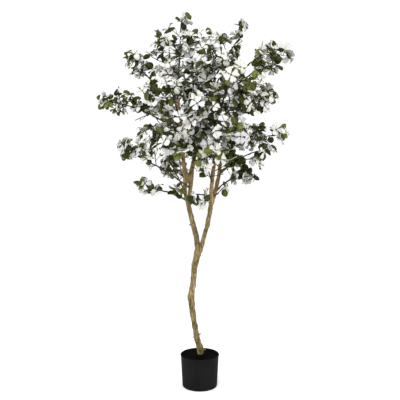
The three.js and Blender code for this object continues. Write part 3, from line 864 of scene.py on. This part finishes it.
leafShape = {
    "length": (31, 46), "width": 0.84, "widthDraw": (0.88, 1.12), "thickness": 0.7, "midrib": 0.06,
    "rows": (0.05, 0.2, 0.42, 0.66, 0.88), "outline": (2.13, 0.5, 0.6), "fold": (0.06, 0.36),
    "droop": (-0.02, 0.3), "shorter": 0.4, "wave": 0.06,
}
budLeaf = {"length": (13, 20), "width": 0.42, "rows": ((0.22, 0.8), (0.6, 0.95)), "rise": 0.12, "fold": 1.2}
stalkShape = {
    "length": 6, "lengthDraw": (0.8, 1.2), "budLength": 0.35, "radii": (0.75, 0.6, 0.525), "into": 1.5,
    "sides": 4,
}
leafFacing = {"stray": 0.75, "outwards": 0.5, "up": 0.6}


# half the leaf's width at a share of its length, at most 1
def leafOutline(u):
    scale, foot, tip = leafShape["outline"]
    return scale * u ** foot * (1 - u) ** tip


# a leaf as a thin closed shell, with slots for the top of the blade, the midrib and the underside
def addLeaf(bunch, base, along, normal, length, width, slots, draw):
    top, rib, under = slots
    s = leafShape
    side = unit(np.cross(along, normal))
    normal = np.cross(side, along)
    fold, droop, wave = draw(*s["fold"]), draw(*s["droop"]), draw(-s["wave"], s["wave"])
    half = s["thickness"] / 2

    def at(u, v, layer):
        wide = width / 2 * leafOutline(u) * v
        lift = abs(wide) * fold - length * droop * u ** 2 + length * wave * v * math.sin(2 * math.pi * u)
        return (base + along * length * u * (1 - s["shorter"] * droop * u) + side * wide
                + normal * (lift + layer * half))

    m = s["midrib"]
    columns = [(-1, 0), (-m, 1), (m, 1), (1, 0), (0, -1)]
    rings = [[at(u, v, layer) for v, layer in columns] for u in s["rows"]]
    bunch.loft(rings, [top, rib, top, under, under], at(0, 0, 0), at(1, 0, 0))


# a small folded leaf that is still closed, with few faces
def addBudLeaf(bunch, base, along, normal, length, width, slots):
    b = budLeaf
    side = unit(np.cross(along, normal))
    normal = np.cross(side, along)
    half = leafShape["thickness"] / 2
    rings = []
    for u, wide in b["rows"]:
        middle = base + along * length * u + normal * length * b["rise"] * u
        out, lift, raised = side * width / 2 * wide, normal * b["fold"], normal * half
        rings.append([middle - out + lift, middle + raised, middle + out + lift, middle - raised])
    top, _, under = slots
    bunch.loft(rings, [top, top, under, under], base, base + along * length)


# blossom

petalShape = {
    "length": (34, 41), "width": 0.86, "rows": (0.1, 0.32, 0.6, 0.85, 0.97), "thickness": 0.8,
    "widths": (0.16, 0.48, 0.92, 1, 0.62), "notch": 0.1, "notchFrom": 0.9, "notchWidth": 0.5,
    "corner": 0.8, "cup": (0.1, 0.65), "recurve": (0.1, 0.6), "hollow": (0.04, 0.4), "shorter": 0.25,
    "lower": 1.4, "turnStray": 0.2, "bentDraw": (0.5, 1.6), "lengthDraw": (0.86, 1.06),
}
buttonShape = {
    "beads": 7, "ring": 3.2, "bead": 2.2, "height": 1.6, "middleRise": 1.7, "sides": 6, "levels": (-0.5, 0.5),
}


def addPetal(bunch, middle, face, way, length, cup, recurve, hollow, slots):
    s = petalShape
    # the back slot's colour is painted shade, a little darker and warmer than the face
    front, shadedBack = slots
    side = unit(np.cross(way, face))
    half, notchHalf = s["thickness"] / 2, s["notchWidth"]

    def at(u, halfWidth, v, layer):
        wide = halfWidth * v
        atTip = u > s["notchFrom"]
        notch = s["notch"] * length * (1 - abs(v) / notchHalf) if abs(v) < notchHalf and atTip else 0
        droop = s["notch"] * s["corner"] * length * max(0, abs(v) - notchHalf) if atTip else 0
        height = length * (cup * u - recurve * u ** 3) + abs(wide) * hollow
        return (middle + way * (length * u * (1 - s["shorter"] * cup) - notch - droop) + side * wide
                + face * (height + layer * half))

    columns = [(-1, 0), (-0.5, 1), (0, 1), (0.5, 1), (1, 0), (0.5, -1), (0, -1), (-0.5, -1)]
    rings = [[at(u, length * s["width"] / 2 * wide, v, layer) for v, layer in columns]
             for u, wide in zip(s["rows"], s["widths"])]
    tip = [(0, 1, 7), (1, 2, 6, 7), (2, 3, 5, 6), (3, 4, 5)]
    bunch.loft(rings, [front] * 4 + [shadedBack] * 4, middle, None, tip)


def addBead(bunch, centre, axis, radius):
    side = squareTo(right + 0.2 * up, axis)
    front = np.cross(side, axis)
    sides = buttonShape["sides"]
    rings = []
    for level in buttonShape["levels"]:
        around = radius * math.sqrt(1 - level ** 2)
        rings.append([centre + axis * radius * level + around * wayAt(side, front, -2 * math.pi * j / sides)
                      for j in range(sides)])
    bunch.loft(rings, [0] * sides, centre - axis * radius, centre + axis * radius)


def addFlower(petals, buttons, middle, face, across, petalSlots, draw):
    p, b = petalShape, buttonShape
    upright = np.cross(face, across)
    length, *bent = [draw(*p[key]) for key in ("length", "cup", "recurve", "hollow")]
    turn = draw(0, quarter)
    for number in range(4):
        angle = turn + number * quarter + draw(-p["turnStray"], p["turnStray"])
        root = middle - face * p["lower"] * (number % 2)
        own = [value * draw(*p["bentDraw"]) for value in bent]
        addPetal(petals, root, face, wayAt(across, upright, angle), length * draw(*p["lengthDraw"]), *own,
                 petalSlots)
    for number in range(b["beads"]):
        angle = 2 * math.pi * number / (b["beads"] - 1)
        ring = b["ring"] if number else 0
        height = b["height"] if number else b["height"] * b["middleRise"]
        addBead(buttons, middle + wayAt(across, upright, angle) * ring + face * height, face, b["bead"])


# what grows on the twiglets

twigletShape = {
    "short": (36, 50), "least": 14, "radius": 1.25, "tipRadius": 0.9, "arch": 0.08, "endStray": 6,
    "leafPlaces": ((0.36, 62), (0.8, 44)), "leafPlacesUnderFlower": ((0.4, 64),), "tipLeafLean": 0.3,
    "foot": 1, "tries": 8,
}
leafRoom = {"apart": 16, "wood": 4, "leanStray": 16, "turnStray": 30}
flowerPlace = {
    "share": 0.88, "apart": 35, "wood": 3, "rim": 28, "rimAngles": (0.4, 2, 3.5, 5.1), "beyond": 2,
    "along": 0.5, "level": 0.35, "up": 0.2, "budLean": 55, "budStray": 0.4, "budBehind": 3,
}
spurShape = {  # short bare side twigs that end in a pair of bud leaves
    "places": (0.3, 0.62), "length": (16, 34), "spread": 48, "bow": 3, "radius": 1.05, "tipRadius": 0.8,
    "foot": 1, "wood": 6, "leans": (-0.5, 0.5),
}
sprayDress = {
    "seed": 521000, "seedStep": 977, "intoBough": 0.012, "tipShare": 0.8, "twigFoot": 3.5, "pairBehind": 14,
    "pairSpread": 62, "otherGreens": 0.45,
}
# Sprigs that fill the middle of the crown: on which line, from one height to another, and how many.
sprigRows = [
    ("leftOuter", 1110, 1400, 13), ("leftInner", 1090, 1540, 19), ("rightInner", 1050, 1180, 6),
    ("rightOuter", 1050, 1110, 3), ("upperStem", 1190, 1470, 12),
]
sprigShape = {
    "seed": 900001, "length": (50, 125), "spread": 62, "spreadStray": 12, "turn": 137.5, "turnStray": 20,
    "wood": 14, "arch": 5, "radius": 1.7, "tipRadius": 1.3, "splays": (-62, 5, 66), "splayStray": 10,
    "twiglet": (28, 44),
}

# The crown is in tiers: open windows between them, as ellipses of x and z seen from the front,
# with their half widths and half heights.
windows = [
    (-378, 1497, 112, 30), (-258, 1310, 112, 21), (-372, 1294, 70, 32), (-292, 1079, 96, 33),
    (-236, 912, 140, 44), (-277, 1700, 66, 38), (96, 1800, 62, 44), (228, 1692, 38, 44),
    (338, 1742, 74, 36), (404, 1496, 78, 46), (302, 1316, 108, 23), (346, 916, 172, 62),
    (6, 996, 34, 48), (-192, 1018, 30, 18), (-196, 1806, 46, 32), (-392, 1700, 62, 26),
    (-107, 1752, 20, 32), (348, 1100, 38, 42),
]
# The same for what grows in front of the four limbs, so that they show below the crown.
limbViews = [(-56, 1062, 40, 106), (66, 1030, 24, 120), (92, 985, 28, 92)]
eye = {"distance": 2731, "height": 1098, "limbViewsFrom": -15}


# whether a point, seen from the front, lies in a window between the tiers or hides a limb
def inWindow(point):
    nearer = eye["distance"] / (eye["distance"] + point[1])
    x, z = point[0] * nearer, mix(eye["height"], point[2], nearer)
    closed = windows + (limbViews if point[1] < eye["limbViewsFrom"] else [])
    return any(((x - cx) / rx) ** 2 + ((z - cz) / rz) ** 2 < 1 for cx, cz, rx, rz in closed)


def isFar(point, others, distance):
    return not others or np.linalg.norm(np.array(others) - point, axis=1).min() > distance


# All that grows on the sprays and sprigs. The draws, the green and the twigs' slot are those of the
# spray or sprig that is being dressed.
class Foliage:
    def __init__(self):
        self.twigs, self.leaves, self.petals, self.buttons = Bunch(), Bunch(), Bunch(), Bunch()
        self.leafMiddles, self.flowerMiddles = [], []

    def pickColours(self):
        self.twigSlot, self.green = pick(self.draw, twigColours), pick(self.draw, greens)

    # slots of the top, midrib and underside of leaves, in the spray's own green or another
    def shades(self):
        kind = self.green
        if self.draw() < sprayDress["otherGreens"]:
            kind = pick(self.draw, greens)
        return 2 * kind, 2 * kind + 1, 2 * len(greens) + pick(self.draw, undersides)

    def rod(self, line, kind, foot, start=0, tipShare=1.0):
        knobblyRod(self.twigs, line, start, 1, kind, self.twigSlot, self.draw, foot, tipShare)

    # a leaf on its short stalk, where there is room for it
    def leaf(self, point, way, shades, small=False):
        draw, shape, stalk = self.draw, budLeaf if small else leafShape, stalkShape
        length = draw(*shape["length"])
        width = length * shape["width"] * draw(*leafShape["widthDraw"])
        normal = squareTo(looseFace(point, draw, leafFacing), way)
        base = point + way * (stalk["length"] * (stalk["budLength"] if small else draw(*stalk["lengthDraw"])))
        middle, tip = base + way * length * 0.5, base + way * length
        if not small and not isFar(middle, self.leafMiddles, leafRoom["apart"]):
            return False
        if inWindow(middle) or inWindow(tip) or not clearOfWood([middle, tip], leafRoom["wood"]):
            return False
        self.twigs.rod([point, mix(point, base, 0.5), base + way * stalk["into"]], stalk["radii"],
                       stalk["sides"], self.twigSlot)
        if small:
            addBudLeaf(self.leaves, base, way, normal, length, width, shades)
        else:
            addLeaf(self.leaves, base, way, normal, length, width, shades, draw)
            self.leafMiddles.append(middle)
        return True

    # a flower with two bud leaves behind it, where there is room for it
    def flower(self, point, face, across, petal, shades):
        f, draw = flowerPlace, self.draw
        if not isFar(point, self.flowerMiddles, f["apart"]):
            return False
        across = squareTo(across, face)
        upright = np.cross(face, across)
        rim = [point + wayAt(across, upright, angle) * f["rim"] for angle in f["rimAngles"]]
        if any(inWindow(place) for place in rim) or not clearOfWood(rim, f["wood"]):
            return False
        addFlower(self.petals, self.buttons, point, face, across, (2 * petal, 2 * petal + 1), draw)
        self.flowerMiddles.append(point)
        turn = draw(0, math.pi)
        for number in range(2):
            angle = turn + number * math.pi + draw(-f["budStray"], f["budStray"])
            way = leaned(-face, wayAt(across, upright, angle), math.radians(f["budLean"]))
            self.leaf(point - face * f["budBehind"], way, shades, True)
        return True

    # two leaves on opposite sides of a twig
    def pair(self, point, along, turn, spread, shades):
        draw, turnStray, leanStray = self.draw, leafRoom["turnStray"], leafRoom["leanStray"]
        side = squareTo(np.cross(along, up) + right * 0.05, along)
        front = np.cross(side, along)
        for opposite in (0, math.pi):
            for _ in range(twigletShape["tries"]):
                angle = turn + opposite + math.radians(draw(-turnStray, turnStray))
                lean = math.radians(spread + draw(-leanStray, leanStray))
                if self.leaf(point, leaned(along, wayAt(side, front, angle), lean), shades):
                    break

    # a twiglet with its leaves in pairs and, at its end, a flower or a leaf
    def twiglet(self, begin, along, side, length):
        s, f, draw = twigletShape, flowerPlace, self.draw
        shades = self.shades()
        end = begin + along * length + side * draw(-s["endStray"], s["endStray"])
        if inWindow(end):
            return
        line = bowedLine(begin, end, up * length * s["arch"], s)
        self.rod(line, "twiglet", s["foot"])
        tip, tipAlong, tipSide, _ = line.frameAt(1)
        flowered = False
        if draw() < f["share"]:
            petal = pick(draw, petalWhites)
            level = unit(np.array([tip[0], tip[1], 0.01]))
            for _ in range(s["tries"]):
                face = looseFace(tip, draw) + tipAlong * f["along"] + level * f["level"] + up * f["up"]
                face = unit(face)
                flowered = self.flower(tip + face * f["beyond"], face, tipSide, petal, shades)
                if flowered:
                    break
        places = s["leafPlacesUnderFlower"] if flowered else s["leafPlaces"]
        turn = draw(0, math.pi)
        for number, (share, spread) in enumerate(places):
            point, way, _, _ = line.frameAt(share)
            self.pair(point, way, turn + number * quarter, spread, shades)
        if not flowered:
            lean = draw(-s["tipLeafLean"], s["tipLeafLean"])
            self.leaf(tip, leaned(tipAlong, tipSide, lean), shades)

    def spurs(self, twig):
        s, draw = spurShape, self.draw
        for place in s["places"]:
            point, along, side, front = twig.frameAt(place)
            outwards = wayAt(side, front, draw(0, 2 * math.pi))
            way = leaned(along, outwards, math.radians(s["spread"]))
            end = point + way * draw(*s["length"])
            if nearWood.distances(end[None]).min() < s["wood"]:
                continue
            self.rod(bowedLine(point, end, outwards * draw(-s["bow"], s["bow"]), s), "twiglet", s["foot"])
            shades = self.shades()
            for lean in s["leans"]:
                self.leaf(end, leaned(way, squareTo(outwards, way), lean), shades, True)

    def dress(self, spray):
        d = sprayDress
        draw = self.draw = drawsFrom(d["seed"] + d["seedStep"] * spray.index)
        self.pickColours()
        start = spray.boughShare - d["intoBough"] if spray.boughShare else 0
        self.rod(spray.stem, "stem", 0 if start else spray.carrierRadius, start, d["tipShare"])
        for twig in spray.twigs:
            self.rod(twig, "twig", d["twigFoot"])
            self.spurs(twig)
        for blossom in spray.blossoms:
            middle, along = blossom["middle"], blossom["along"]
            petal, shades = pick(draw, petalWhites), self.shades()
            self.flower(middle, blossom["face"], blossom["across"], petal, shades)
            self.pair(middle - along * d["pairBehind"], along, draw(0, math.pi), d["pairSpread"], shades)
        for twiglet in spray.twiglets:
            length = clusterShape["reach"] * spray.size - draw(*twigletShape["short"])
            length = max(twigletShape["least"], length)
            self.twiglet(twiglet["start"], twiglet["along"], twiglet["side"], length)

    def growSprigs(self):
        s = sprigShape
        draw = self.draw = drawsFrom(s["seed"])
        for lineName, low, high, count in sprigRows:
            for number in range(count):
                turn = number * s["turn"] + draw(-s["turnStray"], s["turnStray"])
                height = mix(low, high, (number + 0.5) / count)
                point, along, outwards, radius = onSurface(wood[lineName], height, turn)
                spread = s["spread"] + draw(-s["spreadStray"], s["spreadStray"])
                way = leaned(along, outwards, math.radians(spread))
                end = point + way * (radius + draw(*s["length"]))
                if inWindow(end) or nearWood.distances(end[None]).min() < s["wood"]:
                    continue
                self.pickColours()
                twig = bowedLine(point, end, up * s["arch"], s)
                self.rod(twig, "twig", radius)
                self.spurs(twig)
                across = squareTo(looseFace(end, draw), way)
                for splay in s["splays"]:
                    turn = math.radians(splay + draw(-s["splayStray"], s["splayStray"]))
                    along = leaned(way, across, turn)
                    self.twiglet(end, along, squareTo(up + right * 0.1, along), draw(*s["twiglet"]))


# finishes

greens = {  # top of the blade, midrib
    "leafDeep": ((0.016, 0.022, 0.0055), (0.038, 0.048, 0.012)),
    "leafDark": ((0.03, 0.039, 0.0075), (0.06, 0.073, 0.018)),
    "leafOlive": ((0.075, 0.082, 0.017), (0.122, 0.132, 0.033)),
    "leafMid": ((0.052, 0.072, 0.015), (0.097, 0.121, 0.033)),
    "leafFresh": ((0.13, 0.152, 0.031), (0.18, 0.21, 0.057)),
}
undersides = {"leafUnder": (0.053, 0.065, 0.013), "leafUnderPale": (0.095, 0.105, 0.032)}
petalWhites = {  # face and back of the petals, the back darker and warmer as painted shade
    "petalWhite": ((0.685, 0.683, 0.652), (0.64, 0.638, 0.59)),
    "petalMilk": ((0.655, 0.652, 0.597), (0.61, 0.606, 0.535)),
    "petalLilac": ((0.635, 0.625, 0.63), (0.59, 0.582, 0.567)),
}
twigColours = {
    "twigGrey": (0.026, 0.021, 0.015), "twigBrown": (0.032, 0.021, 0.01), "twigGreen": (0.031, 0.03, 0.01),
}
buttonColours = {"buttonGreen": (0.085, 0.09, 0.012)}
surfaces = {  # roughness and specular level
    "leaf": (0.6, 0.1), "leafUnder": (0.75, 0.08), "petal": (0.75, 0.3), "petalShadedBack": (0.8, 0.3),
    "twig": (0.8, 0.3), "button": (0.7, 0.3), "floor": (0.9, 0.1),
}


def plainFinishes(colours, surface):
    return [plainFinish(name, colour, *surfaces[surface]) for name, colour in colours.items()]


# both colours of each row, the second under the name with an ending
def pairedFinishes(table, ending, surface, secondSurface):
    made = []
    for name, (first, second) in table.items():
        made += plainFinishes({name: first}, surface) + plainFinishes({name + ending: second}, secondSurface)
    return made


# noises as cells per metre, detail and roughness, layers as their span, share and colour
barkLook = {
    "noises": {
        "streaks": ((110, 110, 15), 4, 0.6), "patches": ((24, 24, 12), 3), "speckles": ((260, 260, 120), 2),
        "fibres": ((620, 620, 60), 3), "stains": ((14, 14, 30), 2), "clumps": ((90, 90, 60), 3),
        "cracks": ((170, 170, 30), 3, 0.65),
    },
    "toneShares": {"streaks": 0.42, "patches": 0.33, "speckles": 0.25},
    "tones": [
        (0.4, (0.05, 0.034, 0.012)), (0.465, (0.125, 0.088, 0.034)), (0.53, (0.22, 0.16, 0.07)),
        (0.61, (0.42, 0.33, 0.185)),
    ],
    # the second layer on this line is painted light: the bark turns paler from 0.8 m high up, to make up for
    # the crown's shade on the limbs
    "stain": ((0.52, 0.68), 0.4, (0.2, 0.165, 0.1)), "paintedLight": ((0.8, 1.0), 0.35, (0.5, 0.35, 0.155)),
    "damp": ((0.36, 0.5), 0.75, (0.085, 0.076, 0.02)), "moss": ((0.48, 0.56), 0.8, (0.24, 0.235, 0.07)),
    "crack": ((0.36, 0.5), 0.7, (0.045, 0.032, 0.014)), "foot": (0.17, 0.3), "lowest": (0.165, 0.2),
    "roughness": (0.72, 0.2), "bump": (0.0016, 0.8), "fibreDepth": 0.5, "crackDepth": 0.5,
}
cutLook = {"grain": ((300, 300, 300), 3), "colours": ((0.36, 0.25, 0.12), (0.62, 0.49, 0.29)), "bump": 0.0005}
boughLook = {
    "patches": ((60, 60, 60), 3), "fine": ((420, 420, 420), 3), "shares": (0.6, 0.4), "bump": (0.0008, 0.7),
    "tones": [(0.3, (0.035, 0.028, 0.02)), (0.7, (0.105, 0.085, 0.06))],
}
potLook = {
    "skin": ((1500, 1500, 1500), 2), "haze": ((16, 16, 9), 4, 0.6), "dust": (0.42, 0.72),
    "colours": ((0.0078, 0.0078, 0.008), (0.011, 0.0109, 0.011)), "roughness": (0.6, 0.12, 0.06),
    "bump": (0.0002, 0.35),
}
fillLook = {
    "grains": ((420, 420, 420), 4, 0.65), "span": (0.35, 0.7),
    "colours": ((0.001, 0.001, 0.001), (0.005, 0.0045, 0.004)), "bump": (0.0015, 0.8),
}


def barkFinish():
    look = barkLook
    f = Finish("barkWood", Roughness=0.8, Specular_IOR_Level=0.2)
    noises = {name: f.noise(*values) for name, values in look["noises"].items()}
    streaks, patches, speckles = (noises[name] * share for name, share in look["toneShares"].items())
    tan = f.ramp(streaks + patches + speckles, look["tones"])
    height = f.node("SeparateXYZ", {}, {"Vector": f.node("TexCoord", {}, {}, "Object")}, "Z")

    def layered(under, name, value, within=None):
        span, share, colour = look[name]
        cover = f.between(value, *span)
        return f.blend((within * cover if within else cover) * share, under, colour)

    # real stains, then painted light that makes the bark paler high up, under the crown
    stainedWithPaintedLight = layered(layered(tan, "stain", noises["stains"]), "paintedLight", height)
    foot, lowest = 1 - f.between(height, *look["foot"]), 1 - f.between(height, *look["lowest"])
    mossy = layered(layered(stainedWithPaintedLight, "damp", noises["clumps"], foot), "moss", noises["clumps"], lowest)
    span, share, colour = look["crack"]
    cracks = 1 - f.between(noises["cracks"], *span)
    least, more = look["roughness"]
    relief = noises["streaks"] + noises["fibres"] * look["fibreDepth"] - cracks * look["crackDepth"]
    return f.done({"Base Color": f.blend(cracks * share, mossy, colour),
                   "Roughness": least + noises["fibres"] * more}, relief, *look["bump"])


def cutFinish():
    f = Finish("cutWood", Roughness=0.8)
    grain = f.noise(*cutLook["grain"])
    dark, light = cutLook["colours"]
    return f.done({"Base Color": f.blend(grain, rgb(*dark), light)}, grain, cutLook["bump"])


def boughFinish():
    look = boughLook
    f = Finish("boughBark", Roughness=0.8)
    patches, fine = f.noise(*look["patches"]), f.noise(*look["fine"])
    patchShare, fineShare = look["shares"]
    tone = patches * patchShare + fine * fineShare
    return f.done({"Base Color": f.ramp(tone, look["tones"])}, fine, *look["bump"])


def potFinish():
    look = potLook
    f = Finish("potPlastic", Specular_IOR_Level=0.03)
    skin, haze = f.noise(*look["skin"]), f.noise(*look["haze"])
    dust = f.between(haze, *look["dust"])
    clean, dusty = look["colours"]
    least, fromDust, fromSkin = look["roughness"]
    return f.done({"Base Color": f.blend(dust, rgb(*clean), dusty),
                   "Roughness": least + dust * fromDust + skin * fromSkin}, skin, *look["bump"])


def fillFinish():
    look = fillLook
    f = Finish("fillSurface", Roughness=0.95, Specular_IOR_Level=0.01)
    grains = f.noise(*look["grains"])
    dark, light = look["colours"]
    colour = f.blend(f.between(grains, *look["span"]), rgb(*dark), light)
    return f.done({"Base Color": colour}, grains, *look["bump"])


potPiece = makePot(potFinish())
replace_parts(potPiece, "pot")
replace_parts(makeFill(fillFinish()), "pot_fill")
print("pot and fill made")

barkMaterials = [barkFinish(), cutFinish()]
for name in woodPieces:
    makeWood(name, barkMaterials)
print("trunk and limbs made")

boughSeeds = {"boughs": 700000, "upperStem": 710000}
boughMaterial = boughFinish()
boughs, stems = Bunch(), Bunch()
for spray in onBoughs:
    knobblyRod(boughs, spray.bough, 0, spray.boughShare, "bough", 0,
               drawsFrom(boughSeeds["boughs"] + spray.index), spray.carrierRadius)
boughPiece = boughs.makeObject("boughs", [boughMaterial], "twig")
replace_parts(boughPiece, *["bough_" + spray.name for spray in onBoughs])
knobblyRod(stems, wood["upperStem"], 0, 1, "bough", 0, drawsFrom(boughSeeds["upperStem"]))
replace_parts(stems.makeObject("upper_stem", [boughMaterial], "twig"), "stem_upper_right")

crown = Foliage()
for spray in sprays:
    crown.dress(spray)
crown.growSprigs()
leafMaterials = pairedFinishes(greens, "Rib", "leaf", "leaf") + plainFinishes(undersides, "leafUnder")
# the petals' backs take darker, warmer colours as painted shade
petalMaterials = pairedFinishes(petalWhites, "ShadedBack", "petal", "petalShadedBack")
twigPiece = crown.twigs.makeObject("twigs", plainFinishes(twigColours, "twig"), "twig")
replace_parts(twigPiece, *["foliage_" + spray.name for spray in sprays])
crown.leaves.makeObject("leaves", leafMaterials, "leaf")
crown.petals.makeObject("petals", petalMaterials, "petal")
crown.buttons.makeObject("flower_buttons", plainFinishes(buttonColours, "button"), "petal")
print("crown made:", len(crown.leafMiddles), "leaves,", len(crown.flowerMiddles), "flowers")


# floor, light and camera

studio = {
    "world": 1.04, "floorSize": 60, "floorColour": (0.97, 0.97, 0.97), "cameraPlace": (0.0012, -2.731, 1.098),
    "cameraTilt": 86.36, "lens": 50.4, "sensor": 36, "lightsAim": (0, 0, 1.0),
    "lights": {  # place, size and watts
        "keyLight": ((-0.9, -2.4, 3.4), 1.8, 62), "leftLight": ((-2.8, -0.6, 1.3), 1.4, 22),
        "rightLight": ((2.8, -0.6, 1.3), 1.4, 22), "backLight": ((0.6, 2.6, 3.0), 1.6, 30),
    },
}


def makeStudio():
    scene = bpy.context.scene
    world = scene.world = bpy.data.worlds.new("studio")
    world.use_nodes = True
    background = world.node_tree.nodes["Background"].inputs
    background["Color"].default_value = rgb(1, 1, 1)
    background["Strength"].default_value = studio["world"]
    half = studio["floorSize"] / 2
    mesh = bpy.data.meshes.new("floor")
    mesh.from_pydata([(-half, -half, 0), (half, -half, 0), (half, half, 0), (-half, half, 0)], [],
                     [(0, 1, 2, 3)])
    mesh.materials.append(plainFinish("paleFloor", studio["floorColour"], *surfaces["floor"]))
    floor = linked("floor", mesh)
    for name, (place, size, watts) in studio["lights"].items():
        light = bpy.data.lights.new(name, "AREA")
        light.size, light.energy = size, watts
        lamp = linked(name, light)
        lamp.location = place
        aim = Vector(studio["lightsAim"]) - Vector(place)
        lamp.rotation_euler = aim.to_track_quat("-Z", "Y").to_euler()
    camera = bpy.data.cameras.new("camera")
    camera.lens, camera.sensor_width = studio["lens"], studio["sensor"]
    stand = linked("camera", camera)
    stand.location = studio["cameraPlace"]
    stand.rotation_euler = (math.radians(studio["cameraTilt"]), 0, 0)
    scene.camera = stand
    scene.view_settings.view_transform = "Standard"


makeStudio()
print("studio made")
